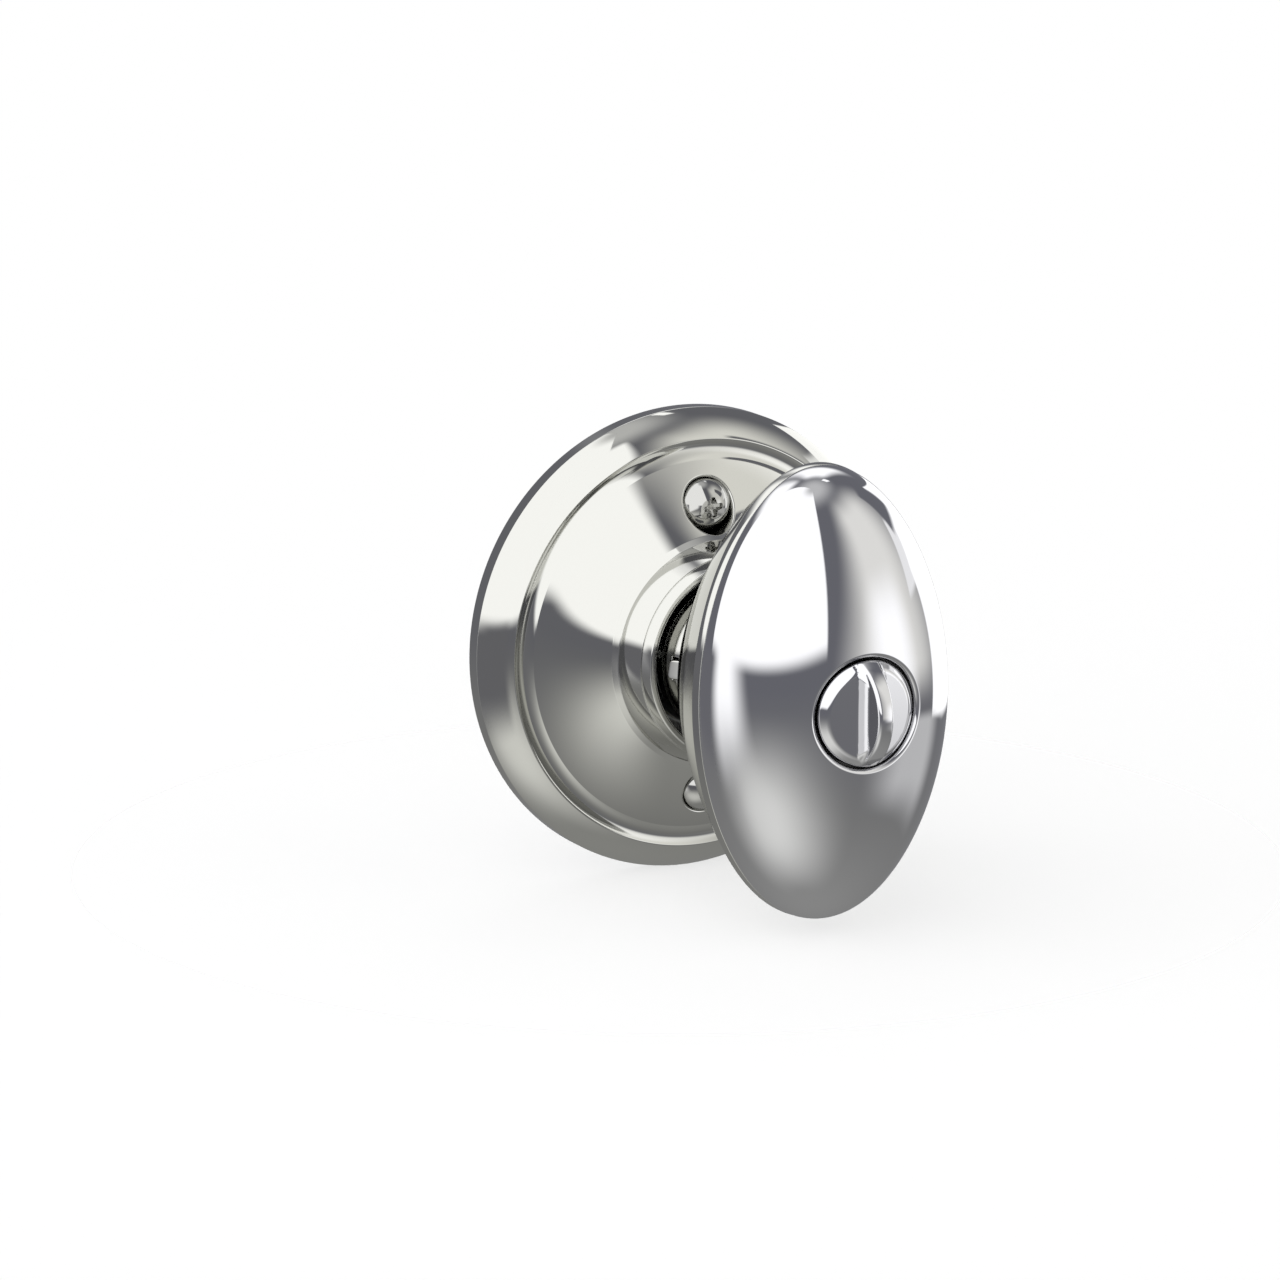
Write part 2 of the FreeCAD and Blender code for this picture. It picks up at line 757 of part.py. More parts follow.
def make_catch_spring():
    """Leaf spring: a pad riveted inside the sleeve and a tongue under the catch's foot."""
    outer_x = catch_foot_top() + catch_foot_thickness
    bore = sleeve_radius - sleeve_wall
    pad = block(-bore, outer_x + leaf_thickness, leaf_back_height, leaf_back_height + leaf_pad_length,
                -leaf_width / 2, leaf_width / 2).common(disc(bore, 0, face_height))
    tongue = block(outer_x, outer_x + leaf_thickness, leaf_back_height, catch_height + catch_length / 2,
                   -leaf_width / 2, leaf_width / 2)
    return pad.fuse(tongue).removeSplitter()


makers = {
    "rosette": make_rosette,
    "mounting_screws": make_mounting_screws,
    "mounting_plate": make_mounting_plate,
    "screw_posts": make_screw_posts,
    "hub": make_hub,
    "hub_liner": make_hub_liner,
    "thrust_washer": make_thrust_washer,
    "return_spring": make_return_spring,
    "spring_cage": make_spring_cage,
    "cage_rivets": make_cage_rivets,
    "drive_sleeve": make_drive_sleeve,
    "retaining_ring": make_retaining_ring,
    "drive_plate": make_drive_plate,
    "latch_spindle": make_latch_spindle,
    "knob_neck": make_knob_neck,
    "knob_front_shell": make_knob_front_shell,
    "knob_back_shell": make_knob_back_shell,
    "seam_plate": make_seam_plate,
    "knob_insert": make_knob_insert,
    "turn_button": make_turn_button,
    "button_clip": make_button_clip,
    "friction_washer": make_friction_washer,
    "turn_bar": make_turn_bar,
    "knob_catch": make_knob_catch,
    "catch_spring": make_catch_spring,
}

os.makedirs("parts", exist_ok=True)
for name, make in makers.items():
    shape = make()
    print(name, "solids", len(shape.Solids), "valid", shape.isValid(), "volume %.1f" % shape.Volume)
    shape.exportStep("parts/" + name + ".step")
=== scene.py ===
# Inside half of a keyed entry knob lock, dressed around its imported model.
# The door face is the plane Y = 0, the room is at -Y and +Z is up. Blender works in metres; every size
# in the dictionaries is in millimetres. A "height" is a distance out from the door face, into the room.
import bmesh
import bpy
import json
import math
import numpy as np
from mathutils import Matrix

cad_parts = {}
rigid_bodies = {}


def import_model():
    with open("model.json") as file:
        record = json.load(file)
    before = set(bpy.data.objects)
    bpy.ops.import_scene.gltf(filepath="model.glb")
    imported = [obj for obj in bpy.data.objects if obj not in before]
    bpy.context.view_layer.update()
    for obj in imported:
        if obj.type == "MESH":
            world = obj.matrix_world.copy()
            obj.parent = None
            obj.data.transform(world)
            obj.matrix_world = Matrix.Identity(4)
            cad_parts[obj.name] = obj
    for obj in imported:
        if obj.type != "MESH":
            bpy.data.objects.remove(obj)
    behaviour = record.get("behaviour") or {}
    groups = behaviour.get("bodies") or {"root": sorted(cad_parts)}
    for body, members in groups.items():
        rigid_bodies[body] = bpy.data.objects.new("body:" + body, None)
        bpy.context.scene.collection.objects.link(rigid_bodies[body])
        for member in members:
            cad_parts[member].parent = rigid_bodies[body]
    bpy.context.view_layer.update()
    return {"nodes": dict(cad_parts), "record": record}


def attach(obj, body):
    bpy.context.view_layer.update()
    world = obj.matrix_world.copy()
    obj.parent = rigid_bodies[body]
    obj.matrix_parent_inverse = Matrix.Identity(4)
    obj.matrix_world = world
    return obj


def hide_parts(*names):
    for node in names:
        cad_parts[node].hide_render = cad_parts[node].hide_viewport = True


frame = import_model()
print("frame loaded,", len(frame["nodes"]), "nodes")

mm = 0.001
fullTurn = 2 * math.pi
slopeStep = 1e-4

# Grid points that round to the same step become one. A grid's own normal is used where its cosine to the
# mesh's normal is at least this much.
weldStep = 2e-3
leastAgreement = 0.7
tiny = 1e-6


def unit(v):
    # v / |v|, along the last axis
    return v / np.maximum(np.linalg.norm(v, axis=-1, keepdims=True), 1e-12)


def gridNormals(points, closedRows, closedColumns):
    # normal = (dP/du) x (dP/dv), with central differences that wrap round a closed direction
    def slope(axis, closed):
        if closed:
            return np.roll(points, -1, axis) - np.roll(points, 1, axis)
        return np.gradient(points, axis=axis)
    return unit(np.cross(slope(0, closedRows), slope(1, closedColumns)))


def grid(points, closedRows=False, closedColumns=True, hole=None, normals=None):
    # Quads between neighbours of a rows x columns array of points; hole marks quads to leave out
    rows, columns = points.shape[:2]
    i = np.arange(rows if closedRows else rows - 1)
    j = np.arange(columns if closedColumns else columns - 1)
    i, j = np.meshgrid(i, j, indexing="ij")
    nextI, nextJ = (i + 1) % rows, (j + 1) % columns
    quads = np.stack([i * columns + j, i * columns + nextJ, nextI * columns + nextJ, nextI * columns + j], -1)
    if hole is not None:
        quads = quads[~hole[:quads.shape[0], :quads.shape[1]]]
    if normals is None:
        normals = gridNormals(points, closedRows, closedColumns)
    return points.reshape(-1, 3), quads.reshape(-1, 4), normals.reshape(-1, 3)


def band(*loops):
    # Grid whose rows are the loops
    return grid(np.stack(loops))


def makePiece(name, grids, material, body, replaced):
    # Grids joined at their common points, turned to face outwards, with the grids' own normals for shading
    offsets = np.cumsum([0] + [len(g[0]) for g in grids[:-1]])
    points = np.concatenate([g[0] for g in grids])
    normals = np.concatenate([g[2] for g in grids])
    quads = np.concatenate([g[1] + o for g, o in zip(grids, offsets)])
    _, first, index = np.unique(np.round(points / weldStep).astype(np.int64), axis=0,
                                return_index=True, return_inverse=True)
    index = index.reshape(-1)
    faces = index[quads]
    total = np.zeros((len(first), 3))
    np.add.at(total, index, normals)
    faces = [tuple(dict.fromkeys(face)) for face in faces.tolist()]
    faces = [face for face in faces if len(face) > 2]
    mesh = bpy.data.meshes.new(name)
    mesh.from_pydata(points[first] * mm, [], faces)
    shape = bmesh.new()
    shape.from_mesh(mesh)
    bmesh.ops.delete(shape, geom=[v for v in shape.verts if not v.link_faces], context="VERTS")
    openEdges = sum(1 for edge in shape.edges if len(edge.link_faces) != 2)
    bmesh.ops.recalc_face_normals(shape, faces=shape.faces)
    if shape.calc_volume(signed=True) < 0:
        bmesh.ops.reverse_faces(shape, faces=shape.faces)
    kept = np.zeros(len(first), bool)
    kept[np.unique(np.concatenate([np.array(face) for face in faces]))] = True
    shape.to_mesh(mesh)
    shape.free()
    shading = total[kept]
    facing = np.empty(len(mesh.vertices) * 3, np.float32)
    mesh.vertex_normals.foreach_get("vector", facing)
    facing = facing.reshape(-1, 3)
    length = np.linalg.norm(shading, axis=1)
    shading = shading / np.maximum(length, tiny)[:, None]
    along = (shading * facing).sum(1)
    shading *= np.where(along < 0, -1, 1)[:, None]
    poor = (length < tiny) | (np.abs(along) < leastAgreement) | ~np.isfinite(along)
    shading[poor] = facing[poor]
    mesh.shade_smooth()
    mesh.normals_split_custom_set_from_vertices(shading)
    mesh.materials.append(material)
    piece = bpy.data.objects.new(name, mesh)
    bpy.context.collection.objects.link(piece)
    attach(piece, body)
    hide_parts(*replaced)
    print(name, len(mesh.vertices), "points,", len(mesh.polygons), "faces,", openEdges, "open edges")


def at(x, height, z):
    # Points from x, height and z: the knob's axis runs along -Y
    return np.stack(np.broadcast_arrays(x, -np.asarray(height, float), z), -1)


def ring(count):
    # Angles once round
    return np.linspace(0, fullTurn, count, endpoint=False)


def radiusOf(points):
    # Distance from the knob's axis
    return np.hypot(points[..., 0], points[..., 2])


def turned(radius, height, angles):
    # Surface of revolution: x = r cos a, z = r sin a, with one row for each (r, height)
    r, h = np.asarray(radius, float)[:, None], np.asarray(height, float)[:, None]
    return at(r * np.cos(angles), h * np.ones_like(angles), r * np.sin(angles))


def eased(count, low=0.0, high=1.0):
    # Points that crowd towards both ends: (1 - cos(pi t)) / 2
    t = (1 - np.cos(np.linspace(0, np.pi, count))) / 2
    return low + (high - low) * t


def roundedLine(corners, rounds, bows=None, runPoints=9, roundPoints=7, closed=False):
    # Runs between corners are lines or shallow arcs of the given bow. At a corner both runs are cut back by
    # round * tan(turn / 2) and joined by the rational quadratic B = ((1-u)^2 A + 2w u(1-u) C + u^2 E) / W,
    # which is a circle's arc for w = cos(turn / 2).
    corners = np.asarray(corners, float)
    count = len(corners)
    runs = count if closed else count - 1
    bows = np.zeros(runs) if bows is None else np.asarray(bows, float)
    start, end = corners[:runs], corners[(np.arange(runs) + 1) % count]
    chord = end - start
    length = np.linalg.norm(chord, axis=1)
    along = chord / length[:, None]
    side = np.stack([-along[:, 1], along[:, 0]], 1)
    half = 2 * np.arctan2(2 * bows, length)            # half of the arc's angle, signed

    def pointOn(k, t):
        if abs(bows[k]) < 1e-9:
            return start[k] + np.outer(t, chord[k])
        radius = length[k] / 2 / math.sin(half[k])
        angle = half[k] * (2 * t - 1)
        return (start[k] + np.outer(0.5 + radius / length[k] * np.sin(angle), chord[k])
                + np.outer(radius * (np.cos(angle) - math.cos(half[k])), side[k]))

    def headingOn(k, t):
        angle = -half[k] * (2 * t - 1)
        return np.cos(angle) * along[k] + np.sin(angle) * side[k]

    trims = np.zeros((runs, 2))
    for k in range(count):
        before, after = (k - 1) % count, k
        if closed or 0 < k < count - 1:
            a, b = headingOn(before, 1.0), headingOn(after, 0.0)
            bend = math.atan2(abs(a[0] * b[1] - a[1] * b[0]), a @ b)
            cut = rounds[k] * math.tan(bend / 2)
            trims[before, 1], trims[after, 0] = cut / length[before], cut / length[after]
    line = []
    for k in range(runs):
        line.append(pointOn(k, eased(runPoints, trims[k, 0], 1 - trims[k, 1])))
        nextCorner = (k + 1) % count
        if (closed or k < runs - 1) and rounds[nextCorner] > 0:
            following = (k + 1) % runs
            a, e = line[-1][-1], pointOn(following, np.array([trims[following, 0]]))[0]
            goingA = headingOn(k, 1 - trims[k, 1])
            goingE = headingOn(following, trims[following, 0])
            across = goingA[0] * goingE[1] - goingA[1] * goingE[0]
            gap = e - a
            c = a + goingA * (gap[0] * goingE[1] - gap[1] * goingE[0]) / across
            weight = math.sqrt((1 + goingA @ goingE) / 2)
            u = np.linspace(0, 1, roundPoints + 2)[1:-1, None]
            line.append(((1 - u) ** 2 * a + 2 * weight * u * (1 - u) * c + u ** 2 * e)
                        / ((1 - u) ** 2 + 2 * weight * u * (1 - u) + u ** 2))
    return np.concatenate(line)


def across(points):
    # The part of each point that lies across the knob's axis
    return points * np.array([1.0, 0, 1.0])


def rolledEdge(loop, inset, rise):
    # Quarter round that starts at a loop: it moves in by inset (1 - cos t) and along the axis by rise sin t
    t = np.linspace(0, math.pi / 2, 6)[:, None]
    return loop - unit(across(loop)) * (inset * (1 - np.cos(t)))[..., None] + at(0, rise * np.sin(t), 0)


def rolledLip(ball, radius, first, last, count):
    # Arc of a rolling ball between two unit normals: n = (sin((1 - u) b) n0 + sin(u b) n1) / sin b
    bend = np.arccos(np.clip((first * last).sum(1), -1, 1))[:, None]
    u = np.linspace(0, 1, count)[:, None, None]
    normals = (np.sin((1 - u) * bend) * first + np.sin(u * bend) * last) / np.sin(bend)
    return grid(ball + radius * normals, normals=normals)


def squared(angles, power):
    # Distance from the centre of |x|^n + |z|^n = 1: (|cos|^n + |sin|^n)^(-1/n)
    return (np.abs(np.cos(angles)) ** power + np.abs(np.sin(angles)) ** power) ** (-1 / power)


def capRadius(rim, rise):
    # Radius of the ball whose cap has this rim and rise: (r^2 + h^2) / 2h
    return (rim ** 2 + rise ** 2) / (2 * rise)


def socketOf(group, name, kind, value=None, out=False):
    socket = group.interface.new_socket(name=name, in_out="OUTPUT" if out else "INPUT", socket_type=kind)
    if value is not None:
        socket.default_value = value


def feed(tree, node, values):
    # Each input is linked to a socket or set to a value
    for key, value in dict(values).items():
        if isinstance(value, bpy.types.NodeSocket):
            tree.links.new(value, node.inputs[key])
        else:
            node.inputs[key].default_value = value


def addNode(tree, kind, values=(), **settings):
    node = tree.nodes.new(kind)
    for key, value in settings.items():
        setattr(node, key, value)
    feed(tree, node, values)
    return node


def mathNode(tree, operation, *values, clamp=False):
    return addNode(tree, "ShaderNodeMath", enumerate(values), operation=operation, use_clamp=clamp).outputs[0]


def noiseNode(tree, vector, scale, detail, roughness=0.5):
    values = {"Vector": vector, "Scale": scale, "Detail": detail, "Roughness": roughness}
    return addNode(tree, "ShaderNodeTexNoise", values).outputs["Fac"]


def objectPlace(tree):
    return addNode(tree, "ShaderNodeTexCoord").outputs["Object"]


def newMaterial(name):
    # A material with its node tree and its Principled shader
    material = bpy.data.materials.new(name)
    material.use_nodes = True
    return material, material.node_tree, material.node_tree.nodes["Principled BSDF"]


def blendBase(tree, shader, first, second, factor):
    # Base colour = first (1 - factor) + second factor
    values = {"Factor": factor, "A": (*first, 1), "B": (*second, 1)}
    mix = addNode(tree, "ShaderNodeMix", values, data_type="RGBA")
    feed(tree, shader, {"Base Color": mix.outputs["Result"]})


handling = dict(stretch=0.35, broadScale=45.0, fineScale=400.0, threshold=0.45, gain=3.0, reliefHeight=0.02)


def handledGroup():
    # Faint traces of handling on polished metal: roughness = base + wipe * fine noise * worn, where
    # worn = gain (broad noise - threshold), held between 0 and 1
    k = handling
    group = bpy.data.node_groups.new("handledMetal", "ShaderNodeTree")
    socketOf(group, "Vector", "NodeSocketVector")
    for name, value in (("Base", 0.04), ("Wipe", 0.02), ("Grain Scale", 900.0)):
        socketOf(group, name, "NodeSocketFloat", value)
    for name in ("Roughness", "Height"):
        socketOf(group, name, "NodeSocketFloat", out=True)
    entry = addNode(group, "NodeGroupInput").outputs
    stretch = {"Vector": entry["Vector"], "Scale": (1.0, 1.0, k["stretch"])}
    stretched = addNode(group, "ShaderNodeMapping", stretch).outputs["Vector"]
    broad = noiseNode(group, stretched, k["broadScale"], 3.0)
    fine = noiseNode(group, entry["Vector"], k["fineScale"], 4.0, 0.6)
    over = mathNode(group, "SUBTRACT", broad, k["threshold"], clamp=True)
    worn = mathNode(group, "MULTIPLY", over, k["gain"], clamp=True)
    wiped = mathNode(group, "MULTIPLY", mathNode(group, "MULTIPLY", worn, fine), entry["Wipe"])
    grain = noiseNode(group, entry["Vector"], entry["Grain Scale"], 3.0)
    roughness = mathNode(group, "ADD", entry["Base"], wiped)
    addNode(group, "NodeGroupOutput", {"Roughness": roughness, "Height": grain})
    return group


handled = handledGroup()


def metal(name, color, base, wipe, grainScale, relief, tint=None):
    # Principled metal whose roughness and relief come from the handledMetal group. The tint is a second
    # colour that a broad noise blends in.
    material, tree, shader = newMaterial(name)
    place = objectPlace(tree)
    values = {"Vector": place, "Base": base, "Wipe": wipe, "Grain Scale": grainScale}
    effect = addNode(tree, "ShaderNodeGroup", values, node_tree=handled).outputs
    values = {"Strength": relief, "Distance": handling["reliefHeight"] * mm, "Height": effect["Height"]}
    bump = addNode(tree, "ShaderNodeBump", values)
    feed(tree, shader, {"Metallic": 1.0, "Base Color": (*color, 1), "Roughness": effect["Roughness"],
                        "Normal": bump.outputs["Normal"]})
    if tint:
        blendBase(tree, shader, color, tint, noiseNode(tree, place, 260.0, 4.0))
    return material


warmChrome = (0.56, 0.56, 0.535)
chrome = metal("polishedChrome", (0.62, 0.62, 0.635), 0.03, 0.03, 300.0, 0.015)
coverChrome = metal("coverChrome", warmChrome, 0.035, 0.03, 300.0, 0.015)
neckChrome = metal("neckChrome", warmChrome, 0.10, 0.04, 300.0, 0.015)
screwChrome = metal("platedScrew", (0.46, 0.46, 0.445), 0.05, 0.04, 900.0, 0.0)
zincPlate = metal("zincPlatedSteel", (0.66, 0.67, 0.68), 0.24, 0.22, 2600.0, 0.35, tint=(0.52, 0.53, 0.56))
springSteel = metal("springSteel", (0.42, 0.42, 0.43), 0.28, 0.15, 2200.0, 0.3, tint=(0.34, 0.34, 0.36))
# Cast zinc darkened nearly to black: painted shade for the dark gap round the turn button, over the zinc's own
# grey
castZincPaintedShade = metal("castZincPaintedShade", (0.16, 0.16, 0.16), 0.50, 0.20, 1500.0, 0.6, tint=(0.12, 0.12, 0.12))
spindleZinc = metal("spindleZinc", (0.60, 0.60, 0.61), 0.30, 0.22, 1800.0, 0.35, tint=(0.50, 0.50, 0.51))


def bearingPolymer():
    # Dull off-white moulded liner
    material, tree, shader = newMaterial("bearingPolymer")
    feed(tree, shader, {"Roughness": 0.5})
    speckle = noiseNode(tree, objectPlace(tree), 500.0, 3.0)
    blendBase(tree, shader, (0.72, 0.70, 0.64), (0.62, 0.60, 0.55), speckle)
    return material


# Colour and reach of the painted shade deep in the rosette's screw cups
paintedCupShade = dict(color=(0.11, 0.11, 0.105), cupRadius=3.7, cupZ=19.85, edge=0.1, skinAtAxis=17.3,
                skinSlope=0.417, depth=1.1)


def paintCupShade(material):
    # Painted shade deep in the screw cups: the base colour darkens to the shade colour where mask = inside the
    # cup's radius x deeper than the depth under the skin, whose height falls by skinSlope for each unit of
    # radius
    k = paintedCupShade
    tree = material.node_tree
    x, y, z = addNode(tree, "ShaderNodeSeparateXYZ", {0: objectPlace(tree)}).outputs
    offset = mathNode(tree, "SUBTRACT", mathNode(tree, "ABSOLUTE", z), k["cupZ"] * mm)

    def length(a, b):
        total = mathNode(tree, "ADD", mathNode(tree, "MULTIPLY", a, a), mathNode(tree, "MULTIPLY", b, b))
        return mathNode(tree, "SQRT", total)

    def below(value, limit):
        gap = mathNode(tree, "SUBTRACT", limit * mm, value)
        return mathNode(tree, "DIVIDE", gap, k["edge"] * mm, clamp=True)

    height = mathNode(tree, "MULTIPLY", y, -1.0)
    skin = mathNode(tree, "ADD", height, mathNode(tree, "MULTIPLY", length(x, z), k["skinSlope"]))
    mask = mathNode(tree, "MULTIPLY", below(length(x, offset), k["cupRadius"] + k["edge"]),
                    below(skin, k["skinAtAxis"] - k["depth"]))
    shader = tree.nodes["Principled BSDF"]
    blendBase(tree, shader, tuple(shader.inputs["Base Color"].default_value)[:3], k["color"], mask)
    return material


# The rosette's chrome, with painted shade in its screw cups
rosetteChromeCupShade = paintCupShade(metal("rosetteChromeCupShade", warmChrome, 0.035, 0.03, 300.0, 0.015))


nodeFinishes = {
    "plated_steel": zincPlate,
    "spring_steel": springSteel,
    "cast_zinc": castZincPaintedShade,
    "chrome_trim": chrome,
    "screw_steel": screwChrome,
    "bearing_polymer": bearingPolymer(),
}
for part in frame["record"]["subparts"]:
    node = frame["nodes"].get(part["node"])
    if node is not None:
        node.data.materials.clear()
        node.data.materials.append(nodeFinishes[part["material_slot"]])
print("finishes ready")

rosette = dict(
    radius=32.5, wall=0.9, rimHeight=2.25, rimRound=0.3,
    grooveOuter=(28.7, 6.2), grooveInner=(25.9, 6.45), grooveRound=0.3, grooveInnerRound=0.25,
    flangeBow=0.35, grooveDip=0.4,
    flareTop=(16.4, 11.1), flareSag=0.55, flareRound=0.6,
    collarFoot=(15.75, 11.9), collarFootRound=0.5, collarTop=(14.5, 16.0), lipFootRadius=14.35, lipRadius=13.9,
    lipHeight=17.8, mouthRadius=13.0, hemDepth=1.4, lipRound=0.3,
    ledgeRound=0.06, columns=288, cupZ=19.85, cupBore=3.65, cupWall=0.8, cupFloor=6.2, cupFloorThickness=1.0,
    cupLipRound=0.4, cupFoot=((0, 0.15), (0.05, 0.04), (0.15, 0)), underChamfer=0.2, clearance=2.3,
    holeChamfer=0.1, windowHalfAngle=14.5, windowOut=24.5, windowHigh=12.2, lipOut=26.0, lipHigh=12.4,
    wallSpare=0.01,
)


def rosetteSection():
    # Outer skin from the rim's foot to the lip's hem, as (radius, height) with unit normals out of the wall
    r = rosette
    corners = [(r["radius"], 0), (r["radius"], r["rimHeight"]), r["grooveOuter"], r["grooveInner"],
               r["flareTop"], r["collarFoot"], r["collarTop"], (r["lipFootRadius"], r["collarTop"][1]),
               (r["lipRadius"], r["lipHeight"]), (r["mouthRadius"], r["lipHeight"]),
               (r["mouthRadius"], r["lipHeight"] - r["hemDepth"])]
    rounds = [0, r["rimRound"], r["grooveRound"], r["grooveInnerRound"], r["flareRound"],
              r["collarFootRound"], r["ledgeRound"], r["ledgeRound"], r["lipRound"], r["lipRound"], 0]
    bows = [0, -r["flangeBow"], r["grooveDip"], r["flareSag"], 0, 0, 0, 0, 0, 0]
    line = roundedLine(corners, rounds, bows, runPoints=14, roundPoints=8)
    heading = unit(np.gradient(line, axis=0))
    normal = np.stack([heading[:, 1], -heading[:, 0]], 1)
    return line, normal


def cupLoop(line, normal, cupSide, angle, bore, roundRadius):
    # A ball of the lip's round rolls in the corner between bore and skin. Its centre lies where the skin
    # moved inwards by the round meets the cylinder bore + round; the contact is one round along the normal.
    c = bore + roundRadius
    x, z = c * np.sin(angle), cupSide * (rosette["cupZ"] + c * np.cos(angle))
    inner = line - roundRadius * normal
    rows = np.arange(len(line))
    usable = (line[:, 0] < rosette["lipOut"]) & (line[:, 1] < rosette["lipHigh"])
    order = np.argsort(inner[usable, 0])
    row = np.interp(np.hypot(x, z), inner[usable, 0][order], rows[usable][order])
    return row, np.arctan2(z, x)


def skinAt(line, normal, row, angle):
    # Point and normal of the skin at a fractional row and an angle
    rows = np.arange(len(line))
    r, h = np.interp(row, rows, line[:, 0]), np.interp(row, rows, line[:, 1])
    nr, nh = np.interp(row, rows, normal[:, 0]), np.interp(row, rows, normal[:, 1])
    return at(r * np.cos(angle), h, r * np.sin(angle)), unit(at(nr * np.cos(angle), nh, nr * np.sin(angle)))


def windowEdge(firstRow, lastRow, firstColumn, lastColumn):
    # Grid places once round a window's edge
    right = np.arange(firstColumn, lastColumn)
    down = np.arange(firstRow, lastRow)
    rows = np.concatenate([np.full(len(right), firstRow), down, np.full(len(right), lastRow), down[::-1] + 1])
    columns = np.concatenate([right, np.full(len(down), lastColumn), right[::-1] + 1,
                              np.full(len(down), firstColumn)])
    return rows, columns


def cupGrids(line, normal, window, angles, hole, cupSide, bore, roundRadius, depths):
    # Fan from the window's edge to the lip's contact line, then the lip's arc, then the bore to its depths.
    # The points of the fan run straight in (row, angle), so they stay on the skin.
    step, cupZ = fullTurn / len(angles), rosette["cupZ"]
    halfColumns = int(round(math.radians(rosette["windowHalfAngle"]) / step))
    centreColumn = int(round((math.pi / 2 * cupSide % fullTurn) / step))
    first, last = window
    columns = np.arange(centreColumn - halfColumns, centreColumn + halfColumns + 1)
    hole[first:last, columns[:-1] % len(angles)] = True
    edgeRow, edgeColumn = windowEdge(first, last, columns[0], columns[-1])
    edgeAngle = edgeColumn * step
    edge, _ = skinAt(line, normal, edgeRow, edgeAngle)
    around = np.arctan2(edge[:, 0], cupSide * edge[:, 2] - cupZ)
    row, angle = cupLoop(line, normal, cupSide, around, bore, roundRadius)
    angle = edgeAngle + (angle - edgeAngle + math.pi) % fullTurn - math.pi
    t = eased(14)[:, None]
    fan, fanNormal = skinAt(line, normal, edgeRow + (row - edgeRow) * t, edgeAngle + (angle - edgeAngle) * t)
    contact, skinNormal = fan[-1], fanNormal[-1]
    inwards = at(-np.sin(around), 0, -cupSide * np.cos(around))
    ball = contact - roundRadius * skinNormal
    grids = [grid(fan, normals=fanNormal)]
    if roundRadius > 0:
        grids.append(rolledLip(ball, roundRadius, skinNormal, inwards, 10))
    bored = np.stack([ball + roundRadius * inwards]
                     + [at(radius * np.sin(around), height, cupSide * (cupZ + radius * np.cos(around)))
                        for radius, height in depths])
    grids.append(grid(bored))
    return grids, bored[-1]


def makeRosette():
    # The inner skin is the outer one moved in by the wall, without the points that come nearer than the wall
    r = rosette
    line, normal = rosetteSection()
    angles = ring(r["columns"])
    rows = np.arange(len(line))
    flare = np.where(line[:, 0] > r["windowOut"])[0][-1]
    wall = np.where((line[:, 0] < r["flareTop"][0] + tiny) & (line[:, 1] < r["windowHigh"]))[0][-1]
    fine = np.linspace(0, len(line) - 1, 20 * len(line))
    fine = np.stack([np.interp(fine, rows, line[:, 0]), np.interp(fine, rows, line[:, 1])], 1)
    inner = line - r["wall"] * normal
    inner[0] = (r["radius"] - r["wall"], 0)
    kept = np.linalg.norm(inner[:, None] - fine[None], axis=2).min(1) > r["wall"] - r["wallSpare"]
    bottom = r["cupFloor"] - r["cupFloorThickness"]
    outerDepths = [(r["cupBore"] - inset, r["cupFloor"] + above) for inset, above in r["cupFoot"]]
    outerDepths += [(r["clearance"] + r["holeChamfer"], r["cupFloor"]),
                    (r["clearance"], r["cupFloor"] - r["holeChamfer"])]
    outside = r["cupBore"] + r["cupWall"]
    innerDepths = [(outside, bottom + r["underChamfer"]), (outside - r["underChamfer"], bottom),
                   (r["clearance"], bottom)]
    skins = ((line, normal, (flare, wall), r["cupBore"], r["cupLipRound"], outerDepths),
             (inner[kept], normal[kept], tuple(np.cumsum(kept)[[flare, wall]] - 1), outside, 0.0, innerDepths))
    grids, holes = [], {1: [], -1: []}
    for skin, skinNormal, window, bore, roundRadius, depths in skins:
        hole = np.zeros((len(skin), r["columns"]), bool)
        for cupSide in (1, -1):
            cup, end = cupGrids(skin, skinNormal, window, angles, hole, cupSide, bore, roundRadius, depths)
            grids += cup
            holes[cupSide].append(end)
        grids.append(grid(turned(skin[:, 0], skin[:, 1], angles), hole=hole,
                          normals=turned(skinNormal[:, 0], skinNormal[:, 1], angles)))
    for ends in holes.values():
        grids.append(band(*ends))
    for a, b in ((line[0], inner[0]), (line[-1], inner[kept][-1])):
        grids.append(grid(turned([a[0], b[0]], [a[1], b[1]], angles)))
    makePiece("rosetteCover", grids, rosetteChromeCupShade, "base", ["rosette"])


makeRosette()
print("rosette made")

knob = dict(
    halfHeight=31.0, halfWidth=18.1, flattening=0.012, seam=39.4, rise=13.8, facePower=2.4, rimPower=1.93,
    wall=0.9, seamRound=0.12, seamGap=0.03, seamStop=0.008, rollSlope=0.235, rollHeight=0.6, rollWidth=6.0,
    rollSoft=0.01, backPower=1.75, backEnd=21.0, backEndHalf=11.3, backShares=(0.007, 0.13, 0.985),
    innerStop=0.97, endWidth=0.8, neckGap=0.02, neckSpare=0.1, hole=7.5, holeRound=0.65, holeSpare=0.3,
    holeShares=(0.05, 0.9), columns=256,
)


def oval(halfWidth, halfHeight, height, angles):
    # x = a cos t s, z = b sin t s, with s = 1 - flattening sin^2 2t: a little slimmer than an ellipse
    slim = 1 - knob["flattening"] * np.sin(2 * angles) ** 2
    return at(halfWidth * np.cos(angles) * slim, height, halfHeight * np.sin(angles) * slim)


def facePoint(share, angles, inset):
    # Front face at a share of the way to the seam: height = seam + rise (1 - share^n)^(1/m)
    k = knob
    swell = np.clip(1 - share ** k["facePower"], 0, 1) ** (1 / k["rimPower"])
    return oval((k["halfWidth"] - inset) * share, (k["halfHeight"] - inset) * share,
                k["seam"] + (k["rise"] - inset) * swell, angles)


